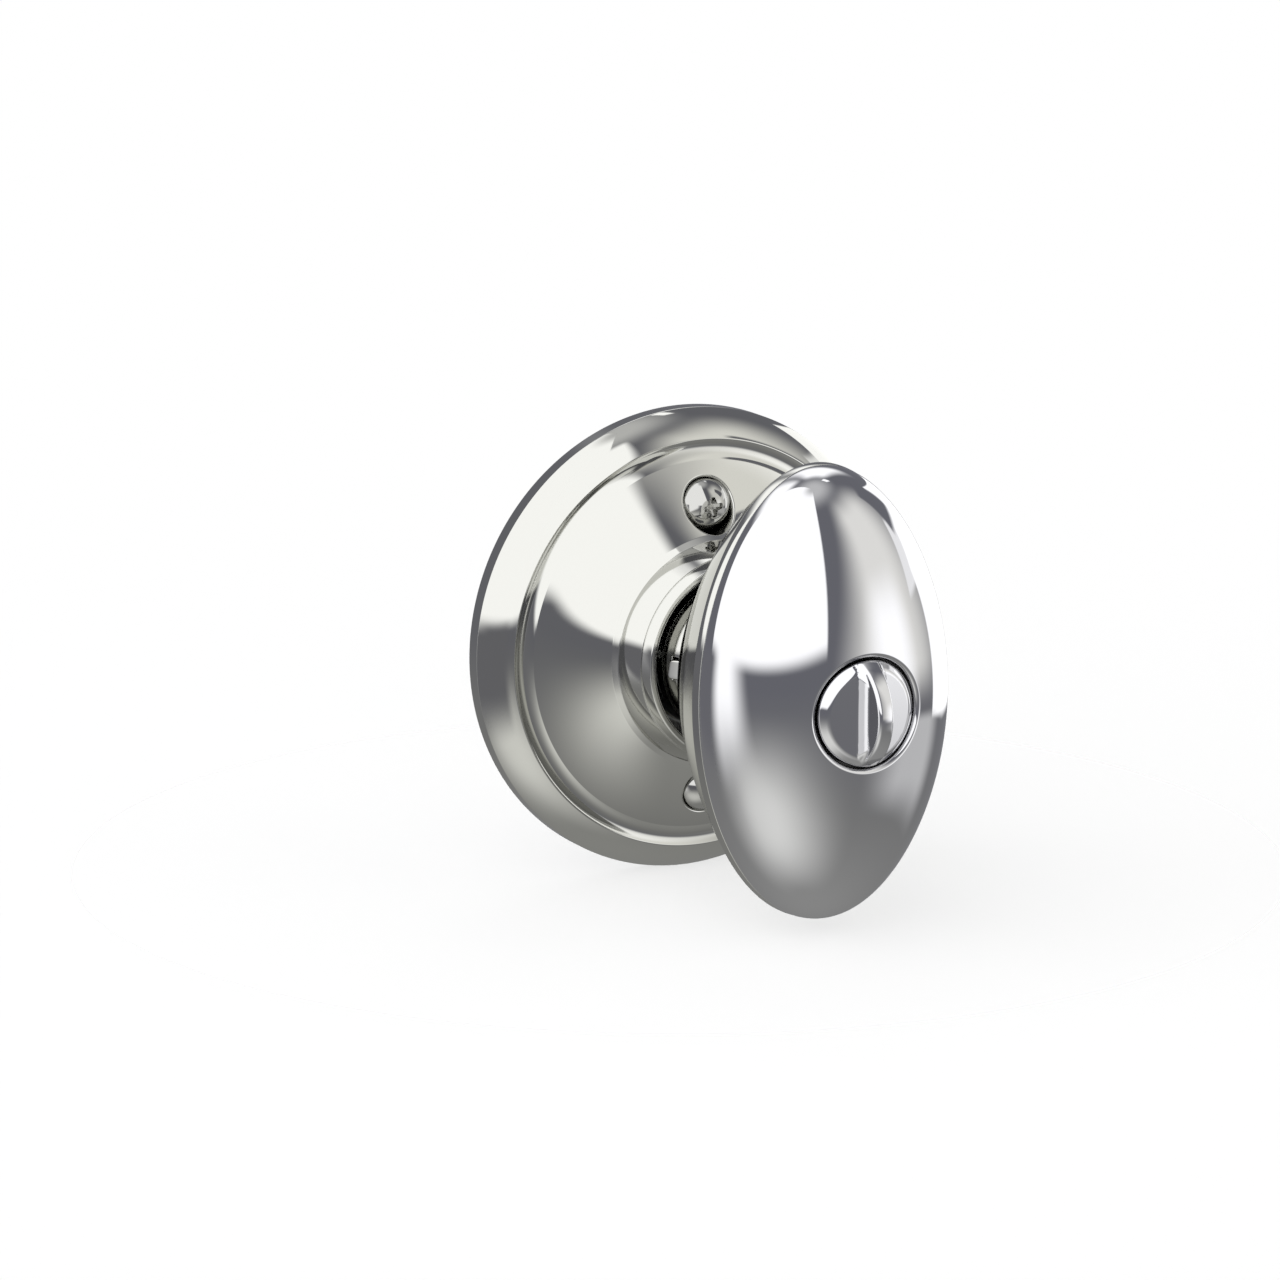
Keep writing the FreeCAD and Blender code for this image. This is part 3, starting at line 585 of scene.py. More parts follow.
def faceNormal(share, angles):
    # Cross product of the face's two slopes, each by a small central difference
    e = slopeStep
    return unit(np.cross(facePoint(share + e, angles, 0) - facePoint(share - e, angles, 0),
                         facePoint(share, angles + e, 0) - facePoint(share, angles - e, 0)))


def outOf(normals):
    # Normals turned towards the room
    return normals * np.where(normals[..., 1:2] > 0, -1, 1)


def makeFrontShell():
    # The hole's round is a rolling ball: its centre, one round under the face, lies at hole + round. The share
    # of the way to the seam where it does is found by halving an interval.
    k = knob
    angles = ring(k["columns"])
    low, high = (np.full(k["columns"], share) for share in k["holeShares"])
    for _ in range(40):
        edge = (low + high) / 2
        ball = facePoint(edge, angles, 0) - k["holeRound"] * outOf(faceNormal(edge, angles))
        inside = radiusOf(ball) < k["hole"] + k["holeRound"]
        low, high = np.where(inside, edge, low), np.where(inside, high, edge)
    skinNormal = outOf(faceNormal(edge, angles))
    ball = facePoint(edge, angles, 0) - k["holeRound"] * skinNormal
    inwards = unit(-across(ball))
    turn = np.linspace(0, 1, 90)[:, None]
    start, last = np.arcsin(edge), math.pi / 2 - k["seamStop"]
    share = np.sin(start + (last - start) * turn)
    outer = facePoint(share, angles, 0)
    outerNormal = outOf(faceNormal(np.minimum(share, 1 - slopeStep), angles))
    seamHeight = k["seam"] + k["seamGap"]
    seamEdge = rolledEdge(outer[-1], k["seamRound"], seamHeight + outer[-1][:, 1])
    innerShare = np.sin(np.linspace(math.pi / 2, 0, 40))[:, None] * np.ones_like(angles)
    inner = facePoint(innerShare, angles, k["wall"])
    inner = inner[radiusOf(inner).min(1) > k["hole"] + k["holeSpare"]]
    inner[0, :, 1] = -seamHeight
    bore = ball + k["holeRound"] * inwards
    boreShare = k["hole"] / np.hypot((k["halfWidth"] - k["wall"]) * np.cos(angles),
                                     (k["halfHeight"] - k["wall"]) * np.sin(angles))
    boreFoot = facePoint(boreShare, angles, k["wall"])
    boreFoot[:, 0], boreFoot[:, 2] = bore[:, 0], bore[:, 2]
    grids = [grid(outer, normals=outerNormal), rolledLip(ball, k["holeRound"], skinNormal, inwards, 12),
             grid(seamEdge), band(seamEdge[-1], inner[0]), grid(inner),
             band(bore, boreFoot), band(boreFoot, inner[-1])]
    makePiece("knobFrontShell", grids, chrome, "knob", ["knob_front_shell"])


def backHalf(halfSize, share, inset):
    # Half-size of the back: end + (rim - end)(1 - s^p) + roll. The roll is the soft minimum of a short slope
    # up from the seam and the parabola h (1 - d / w)^2.
    k = knob
    depth = share * (k["seam"] - k["backEnd"])
    fall = k["rollHeight"] * np.maximum(1 - depth / k["rollWidth"], 0) ** 2
    soft = k["rollSoft"]
    roll = -soft * np.logaddexp(-k["rollSlope"] * depth / soft, -fall / soft)
    return k["backEndHalf"] + (halfSize - k["backEndHalf"]) * (1 - share ** k["backPower"]) + roll - inset


def backOvals(share, angles, inset):
    # Ovals at shares of the way from the seam to the neck
    k = knob
    height = k["seam"] - share * (k["seam"] - k["backEnd"])
    return oval(backHalf(k["halfWidth"], share, inset), backHalf(k["halfHeight"], share, inset),
                height, angles)


def makeBackShell():
    k = knob
    angles = ring(k["columns"])
    first, rolled, last = k["backShares"]
    share = np.concatenate([np.linspace(first, rolled, 30), np.linspace(rolled, last, 46)[1:]])[:, None]
    outer = backOvals(share, angles, 0)
    seamHeight = k["seam"] - k["seamGap"]
    seamEdge = rolledEdge(outer[0], k["seamRound"], seamHeight + outer[0][:, 1])
    neck = float(neckRadius(k["backEnd"])) + k["neckGap"]
    inner = backOvals(np.linspace(0, k["innerStop"], 40)[:, None], angles, k["wall"])
    inner = inner[radiusOf(inner).min(1) > neck + k["neckSpare"]]
    inner[0, :, 1] = -seamHeight
    bore = radiusOf(inner[-1])
    circle = inner[-1] * np.stack([neck / bore, np.ones_like(bore), neck / bore], 1)
    foot = circle.copy()
    foot[:, 1] = -k["backEnd"]
    end = outer[-1]
    endRound = roundedLine([(0, 0), (0, 1), (-1, 1)], [0, 0.999, 0], runPoints=2, roundPoints=5)[1:-1]
    depth = -k["backEnd"] - end[:, 1]
    width = (radiusOf(end) - neck) * k["endWidth"]
    out = unit(across(end))
    endRows = np.stack([end + out * (width * x)[:, None] - at(0, depth * y, 0) for x, y in endRound] + [foot])
    grids = [grid(outer), grid(seamEdge), band(seamEdge[-1], inner[0]), grid(inner),
             band(inner[-1], circle, foot), grid(endRows)]
    makePiece("knobBackShell", grids, coverChrome, "knob", ["knob_back_shell"])


neckPiece = dict(
    outline=((10.9, 10.3), (10.9, 13.6), (11.25, 14.4), (11.25, 16.4), (9.4, 19.9), (9.4, 31.0)),
    rounds=(0, 0.5, 0.6, 1.2, 0.4, 0), bore=9.2125, slotHalf=1.45, slotHeight=19.1, edge=0.12, footRound=0.2,
    columns=168, slotColumns=8, belowRows=26, slotRows=14, aboveRows=20,
)
neckLine = roundedLine(neckPiece["outline"], neckPiece["rounds"], roundPoints=12)


def neckRadius(height):
    # A bead, then a cone that narrows towards the knob
    return np.interp(height, neckLine[:, 1], neckLine[:, 0])


def makeNeck():
    # Tube with a square slot on the -X side. The slot's edge is rounded by loops of the same square.
    n = neckPiece
    half, edge, slotHeight, columns = n["slotHalf"], n["edge"], n["slotHeight"], n["slotColumns"]
    foot, top = n["outline"][0][1], n["outline"][-1][1]
    first, last = n["belowRows"] - 1, n["belowRows"] + n["slotRows"] - 1
    walls = []
    for bored, grown in ((False, edge), (True, 0.0)):
        slot = math.asin((half + grown) / (n["bore"] if bored else float(neckRadius(slotHeight))))
        angles = math.pi + np.concatenate([np.linspace(-slot, slot, columns + 1),
                                           np.linspace(slot, fullTurn - slot, n["columns"])[1:-1]])
        low, high = slotHeight - half - grown, slotHeight + half + grown
        rows = np.concatenate([np.linspace(foot + n["footRound"], low, n["belowRows"]),
                               np.linspace(low, high, n["slotRows"] + 1)[1:],
                               np.linspace(high, top - n["footRound"], n["aboveRows"])[1:]])
        hole = np.zeros((len(rows), len(angles)), bool)
        hole[first:last, :columns] = True
        points = turned(np.full(len(rows), n["bore"]) if bored else neckRadius(rows), rows, angles)
        walls.append((points, hole, points[windowEdge(first, last, 0, columns)]))
    outerLoop, innerLoop = walls[0][2], walls[1][2]
    loops = [outerLoop]
    for t in np.linspace(0, math.pi / 2, 5)[1:]:
        shrink = (half + edge * (1 - math.sin(t))) / (half + edge)
        loop = outerLoop.copy()
        loop[:, 2] *= shrink
        loop[:, 1] = -(slotHeight + (-loop[:, 1] - slotHeight) * shrink)
        loop[:, 0] = -np.sqrt(neckRadius(-loop[:, 1]) ** 2 - loop[:, 2] ** 2) + edge * (1 - math.cos(t))
        loops.append(loop)
    grids = [grid(points, hole=hole) for points, hole, _ in walls]
    grids += [band(*loops), band(loops[-1], innerLoop)]
    for k, rise in ((0, -n["footRound"]), (-1, n["footRound"])):
        outer, inner = walls[0][0][k], walls[1][0][k]
        rounded = rolledEdge(outer, n["footRound"], rise)
        brim = inner.copy()
        brim[:, 1] = rounded[-1, 0, 1]
        grids += [grid(rounded), band(rounded[-1], brim), band(brim, inner)]
    makePiece("knobNeck", grids, neckChrome, "knob", ["knob_neck"])


catch = dict(half=1.3, height=19.1, squareness=6.0, edge=0.22, faceOut=11.3, faceSlope=0.62, faceTilt=0.16,
             inside=7.0)


def makeCatch():
    # Rounded square block under a sloping face, with a rolled edge
    k = catch
    angles = ring(64)
    square = squared(angles, k["squareness"])
    t = np.linspace(0, math.pi / 2, 7)[1:]
    flat = k["half"] - k["edge"]
    size = np.concatenate([np.linspace(0, flat, 6), k["half"] - k["edge"] * (1 - np.sin(t))])[:, None]
    drop = np.concatenate([np.zeros(6), k["edge"] * (1 - np.cos(t))])[:, None]
    rise, z = size * square * np.cos(angles), size * square * np.sin(angles)
    out = k["faceOut"] - k["faceSlope"] * (rise + k["half"]) - k["faceTilt"] * z - drop
    face = at(-out, k["height"] + rise, z)
    back = at(-k["inside"], k["height"] + rise[::-1], z[::-1])
    points = np.concatenate([face, back])
    makePiece("knobCatch", [grid(points)], coverChrome, "catch", ["knob_catch"])


makeFrontShell()
makeBackShell()
makeNeck()
makeCatch()
print("knob made")

button = dict(
    radius=7.2, rim=51.6, shoulder=52.0, top=57.7, base=44.9, floor=53.62, floorFall=0.127, floorEdge=6.15,
    skirtSlope=0.88, footHalf=1.3, topHalf=1.1, bevelWidth=0.75, bevelTurn=33.0, bevelRound=0.12,
    scoopRound=0.3, endRound=0.3, endStart=4.9, endSink=0.5, crestRound=0.42, floorEdgeRound=0.22,
    rimRound=0.22, rimBand=0.5, stem=3.2, stemEnd=38.0, clipGroove=0.6, clipHigh=39.55, clipThick=0.8,
    backRounds=(0, 0.3, 0.2, 0.05, 0.05, 0.05, 0.05, 0.3, 0), lines=161, slides=12, leastSlope=0.05,
)
buttonCrown = capRadius(button["radius"], button["top"] - button["shoulder"])
wingLean = (button["footHalf"] - button["topHalf"]) / (button["top"] - button["floor"])


def roundedMax(a, b, r):
    # Two solids' common part with its edge rounded to radius r
    return np.minimum(np.maximum(a, b), -r) + np.hypot(np.maximum(a + r, 0), np.maximum(b + r, 0))


def roundedMin(a, b, r):
    # Two solids joined with the inner corner rounded to radius r
    return -roundedMax(-a, -b, r)


def buttonForm(p):
    # Distance-like value, negative inside: a wing cut by the dome, joined to a bevel at its foot and to the
    # floors, which fall outwards and are cut by the conical skirt. The wing's foot grows rounder at its ends.
    k = button
    x, h, z = np.abs(p[..., 0]), -p[..., 1], p[..., 2]
    r = np.hypot(x, z)
    dome = np.sqrt(x ** 2 + z ** 2 + (h - k["top"] + buttonCrown) ** 2) - buttonCrown
    plane = h - k["floor"] + k["floorFall"] * (x - k["footHalf"])
    skirt = (plane - k["skirtSlope"] * (k["floorEdge"] - r)) / math.hypot(1, k["skirtSlope"])
    floor = plane / math.hypot(1, k["floorFall"])
    wing = (x - k["footHalf"] + wingLean * (h - k["floor"])) / math.hypot(1, wingLean)
    turn = math.radians(k["bevelTurn"])
    bevel = (x - k["footHalf"] - k["bevelWidth"]) * math.cos(turn) + (h - k["floor"]) * math.sin(turn)
    ends = np.clip((np.abs(z) - k["endStart"]) / (k["radius"] - k["endStart"]), 0, 1)
    ends = ends ** 2 * (3 - 2 * ends)
    foot = roundedMin(roundedMax(floor, skirt, k["floorEdgeRound"]),
                      roundedMax(bevel + k["endSink"] * ends, skirt, k["floorEdgeRound"]), k["bevelRound"])
    body = roundedMin(roundedMax(wing, dome, k["crestRound"]), foot, k["scoopRound"] + k["endRound"] * ends)
    return roundedMax(body, r - k["radius"], k["rimRound"])


def formSlope(form, p):
    # Gradient by central differences
    steps = slopeStep * np.eye(3)
    return np.stack([(form(p + step) - form(p - step)) / (2 * slopeStep) for step in steps], -1)


def makeButton():
    # Each line across the button at constant z runs rim, floor, wing, crest and back; the points start on the
    # sharp form and slide down the gradient to the rounded one.
    k = button
    t = np.linspace(-1, 1, k["lines"])[:, None]
    z = k["radius"] * np.sin(t * math.pi / 2)
    rim = np.sqrt(np.maximum(k["radius"] ** 2 - z ** 2, 0))

    def domeHeight(x):
        return k["top"] - buttonCrown + np.sqrt(np.maximum(buttonCrown ** 2 - x ** 2 - z ** 2, 0))

    def baseHeight(x):
        return (k["floor"] - k["floorFall"] * (x - k["footHalf"])
                + k["skirtSlope"] * np.minimum(k["floorEdge"] - np.hypot(x, z), 0))

    crestX = np.minimum(k["footHalf"], rim)
    for _ in range(30):
        rise = np.maximum(domeHeight(crestX) - k["floor"], 0)
        crestX = np.minimum(k["footHalf"] - wingLean * rise, rim)
    footX = np.minimum(k["footHalf"] + k["scoopRound"], rim)
    crestX = np.minimum(crestX, footX)
    floorX = np.clip(np.sqrt(np.maximum(k["floorEdge"] ** 2 - z ** 2, 0)), footX, rim)
    crest, wall, run, skirt = (eased(count)[None] for count in (11, 27, 25, 13))
    x = [crestX * crest, crestX + (footX - crestX) * wall, footX + (floorX - footX) * run,
         floorX + (rim - floorX) * skirt]
    top = np.maximum(domeHeight(x[0]), baseHeight(x[0]))
    h = [top, top[:, -1:] + (baseHeight(footX) - top[:, -1:]) * wall, baseHeight(x[2]), baseHeight(x[3])]
    x = np.concatenate([x[0]] + [v[:, 1:] for v in x[1:]], 1)
    h = np.concatenate([h[0]] + [v[:, 1:] for v in h[1:]], 1)
    side = at(x, h, z * np.ones_like(x))
    points = np.concatenate([side[:, :0:-1] * np.array([-1.0, 1, 1]), side], 1)
    for _ in range(k["slides"]):
        slopeAt = formSlope(buttonForm, points)
        size = (slopeAt ** 2).sum(-1, keepdims=True)
        points = points - slopeAt * buttonForm(points)[..., None] / np.maximum(size, k["leastSlope"])
    loop = np.concatenate([points[:, -1], points[-2:0:-1, 0]])
    angles = np.arctan2(loop[:, 2], loop[:, 0])
    stem, high, end = k["stem"], k["clipHigh"], k["stemEnd"]
    groove, low = stem - k["clipGroove"], high - k["clipThick"]
    section = roundedLine([(k["radius"], k["rim"] - k["rimBand"]), (k["radius"], k["base"]), (stem, k["base"]),
                           (stem, high), (groove, high), (groove, low), (stem, low), (stem, end), (0, end)],
                          k["backRounds"], runPoints=4, roundPoints=4)
    below = turned(section[:, 0], section[:, 1], angles)
    grids = [grid(points, closedColumns=False, normals=unit(formSlope(buttonForm, points))),
             band(loop, below[0]), grid(below)]
    makePiece("turnButton", grids, chrome, "button", ["turn_button"])


makeButton()
print("button made")

screws = dict(
    z=rosette["cupZ"], seat=rosette["cupFloor"], headRadius=3.6, rise=4.1, edge=1.85, edgeBevel=(0.02, 0.05),
    thread=2.05, shank=1.85, threadStart=-11.0, end=-22.0, tip=0.6, tipShare=0.8, pitch=0.8, threadDepth=0.28,
    ridgeSlope=2.5, crossSpan=1.3, crossWidth=0.3, crossDepth=1.3, crossTurn=0.12, crossTaper=0.12,
    crossFlat=0.5, floorSlope=0.55, sideSlope=6.0, endSlope=5.0, crossZone=2.3, soft=0.07,
)


def headSurface(x, z):
    # Soft minimum of the round head and a tapered cross, whose floor climbs towards the arms' ends
    k = screws
    top = k["seat"] + k["rise"]
    ball = capRadius(k["headRadius"], k["rise"] - k["edge"])
    dome = top - ball + np.sqrt(np.maximum(ball ** 2 - x ** 2 - z ** 2, 0))
    c, s = math.cos(k["crossTurn"]), math.sin(k["crossTurn"])
    a, b = np.abs(c * x + s * z), np.abs(-s * x + c * z)
    along, aside = np.maximum(a, b), np.minimum(a, b)
    floor = top - k["crossDepth"] + k["floorSlope"] * np.maximum(along - k["crossFlat"], 0)
    wall = (floor + k["sideSlope"] * np.maximum(aside - k["crossWidth"] * (1 - k["crossTaper"] * along), 0)
            + k["endSlope"] * np.maximum(along - k["crossSpan"], 0))
    return -k["soft"] * np.logaddexp(-dome / k["soft"], -wall / k["soft"])


def makeScrews():
    # The thread's radius falls from ridge to root by threadDepth, with the phase height / pitch + angle / turn
    k = screws
    angles = ring(192)
    inset, drop = k["edgeBevel"]
    brim = k["headRadius"] - inset
    radii = np.concatenate([np.linspace(0, k["crossZone"], 56), np.linspace(k["crossZone"], brim, 16)[1:]])
    x, z = np.outer(radii, np.cos(angles)), np.outer(radii, np.sin(angles))
    top = at(x, headSurface(x, z), z)
    low = float(-top[-1, 0, 1])
    under = roundedLine([(brim, low), (k["headRadius"], low - drop), (k["headRadius"], k["seat"]),
                         (k["shank"], k["seat"]), (k["shank"], k["threadStart"])],
                        [0, 0, 0.1, 0.1, 0], runPoints=4, roundPoints=4)
    shank = turned(under[:, 0], under[:, 1], angles)
    length = k["threadStart"] - k["end"]
    rows = np.linspace(0, 1, 120)[:, None]
    height = k["threadStart"] - rows * (length - k["tip"])
    phase = (height / k["pitch"] + angles / fullTurn) % 1
    ridge = np.clip(k["ridgeSlope"] * (0.5 - np.abs(phase - 0.5)), 0, 1)
    runIn = np.clip((k["threadStart"] - height) / k["pitch"], 0, 1)
    radius = k["thread"] - k["threadDepth"] * (1 - ridge) * runIn - (k["thread"] - k["shank"]) * (1 - runIn)
    thread = at(radius * np.cos(angles), height, radius * np.sin(angles))
    tip = turned([k["thread"] * k["tipShare"], 0], [k["end"], k["end"]], angles)
    tip = np.concatenate([thread[-1:], tip])
    places = [np.array([0, 0, side * k["z"]]) for side in (1, -1)]
    grids = [grid(part + place) for place in places for part in (top, shank, thread, tip)]
    makePiece("mountingScrews", grids, screwChrome, "base", ["mounting_screws"])


makeScrews()
print("screws made")


def slabLoops(centre, half, low, high, squareness, edge, count=72):
    # Rounded slab as loops from pole to pole: x, z on |x / a|^n + |z / b|^n = 1, with rolled edges
    angles = ring(count)
    square = squared(angles, squareness)
    t = np.linspace(0, math.pi / 2, 6)
    closing, opening = edge * (1 - np.sin(t)), edge * (1 - np.cos(t))
    inset = np.concatenate([[min(half)], closing, opening, [min(half)]])[:, None]
    height = np.concatenate([[low], low + opening, high - closing, [high]])[:, None]
    return at(centre[0] + (half[0] - inset) * square * np.cos(angles), height,
              centre[1] + (half[1] - inset) * square * np.sin(angles))


cage = dict(
    section=((8.8, -10.2), (11.4, -10.2), (12.0, -9.75), (14.0, -9.75), (14.6, -10.2), (17.4, -10.2),
             (17.4, 0), (16.6, 0), (16.6, -9.4), (14.3, -9.4), (13.7, -8.95), (12.3, -8.95), (11.7, -9.4),
             (8.8, -9.4)),
    rounds=(0.25, 0.5, 0.5, 0.5, 0.5, 1.5, 0.1, 0.1, 0.8, 0.4, 0.4, 0.4, 0.4, 0.1),
    earCentre=20.2, earHalf=(3.4, 3.6), earThickness=0.8, earSquareness=5.0, earEdge=0.18,
    rivetAt=20.6, rivetLine=((0, -1.75), (1.5, -1.6), (2.4, -0.95), (2.4, -0.8), (1.4, -0.7), (1.4, 1.4),
                             (2.4, 1.5), (2.4, 1.65), (1.5, 2.3), (0, 2.4)),
    rivetRounds=(0, 1.6, 0.4, 0.08, 0.1, 0.1, 0.08, 0.4, 1.6, 0),
)


def makeCage():
    # Pressed cup with a shallow ring, and two ears that run into its rim
    k = cage
    line = roundedLine(k["section"], k["rounds"], runPoints=6, closed=True)
    cup = turned(line[:, 0], line[:, 1], ring(192))
    ears = [slabLoops((side * k["earCentre"], 0), k["earHalf"], -k["earThickness"], 0, k["earSquareness"],
                      k["earEdge"]) for side in (1, -1)]
    makePiece("springCage", [grid(cup, closedRows=True)] + [grid(ear) for ear in ears], zincPlate, "base",
              ["spring_cage"])
    line = roundedLine(k["rivetLine"], k["rivetRounds"], runPoints=5)
    rivet = turned(line[:, 0], line[:, 1], ring(64))
    rivets = [grid(rivet + np.array([side * k["rivetAt"], 0, 0])) for side in (1, -1)]
    makePiece("cageRivets", rivets, zincPlate, "base", ["cage_rivets"])


spindle = dict(
    bore=2.609, flat=3.3,
    section=((2.609, -6.8), (8.0, -6.8), (8.0, -8.4), (4.3, -8.4), (4.3, -30.0), (2.609, -30.0)),
    rounds=(0.1, 0.2, 0.2, 0.3, 0.45, 0.25), flatRound=0.25, flatTop=-8.35, wallInside=3.0, leastCosine=0.2,
    farOut=99.0, barHalf=(0.7, 2.2), barLow=-36.0, barHigh=41.0, barSquareness=14.0, barEdge=0.22,
)


def makeSpindle():
    # D-shaped tube, r = soft minimum of the section's radius and flat / cos(a), and the flat bar inside it.
    # The flat lies only where the cosine is positive enough, on the tube's outside behind the flange.
    k = spindle
    line = roundedLine(k["section"], k["rounds"], runPoints=8, closed=True)
    angles = ring(192)
    radius, height = line[:, :1], line[:, 1:]
    cosine = np.maximum(np.cos(angles), k["leastCosine"])
    flat = np.where(np.cos(angles) > k["leastCosine"], k["flat"] / cosine, k["farOut"])
    kept = roundedMin(radius * np.ones_like(flat), flat * np.ones_like(radius), k["flatRound"])
    outside = (height < k["flatTop"]) & (radius > k["wallInside"])
    radius = np.where(outside, np.minimum(kept, radius), radius)
    tube = at(radius * np.cos(angles), height, radius * np.sin(angles))
    makePiece("latchSpindle", [grid(tube, closedRows=True)], spindleZinc, "knob",
              ["latch_spindle"])
    bar = slabLoops((0, 0), k["barHalf"], k["barLow"], k["barHigh"], k["barSquareness"], k["barEdge"])
    makePiece("turnBar", [grid(bar)], zincPlate, "button", ["turn_bar"])


makeCage()
makeSpindle()
print("back pieces made")

# Camera fitted to the photograph: its place, its tilt down and its turn to the right in degrees
shot = dict(lens=168.75, sensor=36.0, place=(-384.97, -716.74, 186.87), down=12.99, right=27.86)
view = bpy.data.cameras.new("camera")
view.lens = shot["lens"]
view.sensor_width = shot["sensor"]
camera = bpy.data.objects.new("camera", view)
camera.location = [mm * place for place in shot["place"]]
camera.rotation_euler = (math.radians(90 - shot["down"]), 0, -math.radians(shot["right"]))
bpy.context.collection.objects.link(camera)
bpy.context.scene.camera = camera
bpy.context.scene.view_settings.view_transform = "Standard"

for stray in [o for o in bpy.context.scene.objects if o.name in ("Cube", "Light", "Camera")]:
    bpy.data.objects.remove(stray)

studio = dict(
    domeRadius=2000.0, cardStep=20.0, slate=(0.195, 0.197, 0.222), under=(0.27, 0.27, 0.267),
    nadir=(0.37, 0.37, 0.36), rampStops=(0.0, 0.22, 0.45), floorHeight=-32.5, floorRadius=420.0,
    floorFades=(40.0, 250.0), floorColor=(0.97, 0.97, 0.97), floorShown=0.3,
)

# Each card: four corners as (degrees round from the room to +X, degrees up) from lower left, anticlockwise;
# its brightness, or its colour; and how far its left, right, lower and upper edges fade in, as shares of its
# size
cards = dict(
    zenith=(((-180, 62), (180, 62), (180, 89.9), (-180, 89.9)), 0.75, (0.0001, 0.0001, 0.8, 0.0001)),
    mainSoftbox=(((-128, -2), (3, -2), (-17, 89), (-162, 89)), 1.62, (0.01, 0.015, 0.06, 0.12)),
    leftGlow=(((-185, 30), (-118, 30), (-118, 68), (-185, 68)), 1.62, (0.3, 0.3, 0.3, 0.3)),
    frontGlow=(((4, -14), (112, -14), (98, 70), (10, 72)), (1.12, 1.11, 1.06), (0.3, 0.5, 0.1, 0.32)),
    frontCore=(((20, -18), (70, -18), (66, 20), (24, 20)), 1.62, (0.4, 0.4, 0.2, 0.5)),
    paleStrip=(((70, 4), (90, 5), (106, 23), (84, 27)), 1.24, (0.1, 0.05, 0.1, 0.15)),
    rightBackdrop=(((86, -16), (112, -16), (110, 33), (85, 8)), 1.62, (0.08, 0.001, 0.03, 0.03)),
    backBackdrop=(((112, -16), (142, -14), (142, 3), (110, 33)), 1.62, (0.001, 0.12, 0.03, 0.03)),
    backGlow=(((120, 26), (182, 26), (182, 72), (118, 72)), 1.62, (0.3, 0.3, 0.3, 0.3)),
    smallLamp=(((106, 66), (128, 68), (128, 73), (106, 71)), 1.7, (0.2, 0.2, 0.2, 0.2)),
    lowerLeftGlow=(((-126, -38), (-52, -38), (-76, 4), (-126, 4)), 1.62, (0.3, 0.5, 0.75, 0.01)),
    lowerColumn=(((-100, -66), (-18, -66), (-54, -18), (-104, -18)), (0.72, 0.72, 0.695),
                 (0.45, 0.5, 0.6, 0.5)),
    floorGlow=(((-150, -84), (40, -84), (20, -10), (-128, -10)), (1.0, 1.0, 0.965), (0.5, 0.5, 0.5, 0.45)),
    underGlow=(((25, -33), (104, -35), (104, -14), (25, -14)), 0.72, (0.4, 0.3, 0.5, 0.1)),
    behind=(((158, -22), (200, -22), (200, 24), (158, 24)), 0.9, (0.25, 0.25, 0.3, 0.3)),
)

# Small cards close to the lock, with their corners in millimetres. The slate flags keep the front glow off the
# top of the rosette and the softbox off its left. The white one glows towards the rosette's upper left only.
nearCards = dict(
    slateFlag=(((79, -50, 42), (67, -14, 42), (40, -32, 74), (47, -51, 74)), studio["slate"], False,
               (0.15, 0.15, 0.15, 0.15)),
    whiteFlag=(((-5.4, -17, 18), (-35, -17, 1.5), (-35, -17, 75), (-8.0, -17, 75)), (1.62, 1.62, 1.62), True,
               (0.12, 0.1, 0.05, 0.25)),
    leftFlag=(((-46, -24, -30), (-46, 4, -30), (-46, 4, 8.5), (-46, -24, 8.5)), (0.2, 0.2, 0.22), True,
              (0.25, 0.05, 0.5, 0.15)),
)


def softEdgeGroup():
    # mask = product over the four edges of smoothstep(distance to the edge / its fade)
    group = bpy.data.node_groups.new("softEdge", "ShaderNodeTree")
    socketOf(group, "UV", "NodeSocketVector")
    for edge in ("Left", "Right", "Lower", "Upper"):
        socketOf(group, edge, "NodeSocketFloat", 0.1)
    socketOf(group, "Mask", "NodeSocketFloat", out=True)
    entry = addNode(group, "NodeGroupInput").outputs
    parts = addNode(group, "ShaderNodeSeparateXYZ", {0: entry["UV"]}).outputs
    mask = None
    edges = (("Left", 0, False), ("Right", 0, True), ("Lower", 1, False), ("Upper", 1, True))
    for edge, axis, flipped in edges:
        gap = mathNode(group, "SUBTRACT", 1.0, parts[axis]) if flipped else parts[axis]
        ratio = mathNode(group, "DIVIDE", gap, entry[edge], clamp=True)
        ramp = addNode(group, "ShaderNodeMapRange", {"Value": ratio}, interpolation_type="SMOOTHSTEP")
        mask = ramp.outputs[0] if mask is None else mathNode(group, "MULTIPLY", mask, ramp.outputs[0])
    addNode(group, "NodeGroupOutput", {"Mask": mask})
    return group


softEdge = softEdgeGroup()


def aimed(lon, lat, radius):
    # Point at an angle round and an angle up, seen from the object
    lon, lat = np.radians(lon), np.radians(lat)
    return radius * np.stack([np.cos(lat) * np.sin(lon), -np.cos(lat) * np.cos(lon), np.sin(lat)], -1)


def stageSheet(name, points, material):
    # A grid of points as an open sheet with a UV map, seen by reflections and light but not by the camera
    rows, columns = points.shape[:2]
    _, quads, _ = grid(points, closedColumns=False)
    mesh = bpy.data.meshes.new(name)
    mesh.from_pydata(points.reshape(-1, 3), [], quads.tolist())
    u, v = np.meshgrid(np.linspace(0, 1, columns), np.linspace(0, 1, rows))
    corners = np.stack([u, v], -1).reshape(-1, 2)[quads.reshape(-1)]
    mesh.uv_layers.new(name="UVMap").data.foreach_set("uv", corners.reshape(-1).astype(np.float32))
    mesh.materials.append(material)
    sheet = bpy.data.objects.new(name, mesh)
    bpy.context.collection.objects.link(sheet)
    sheet.visible_camera = False
    return sheet


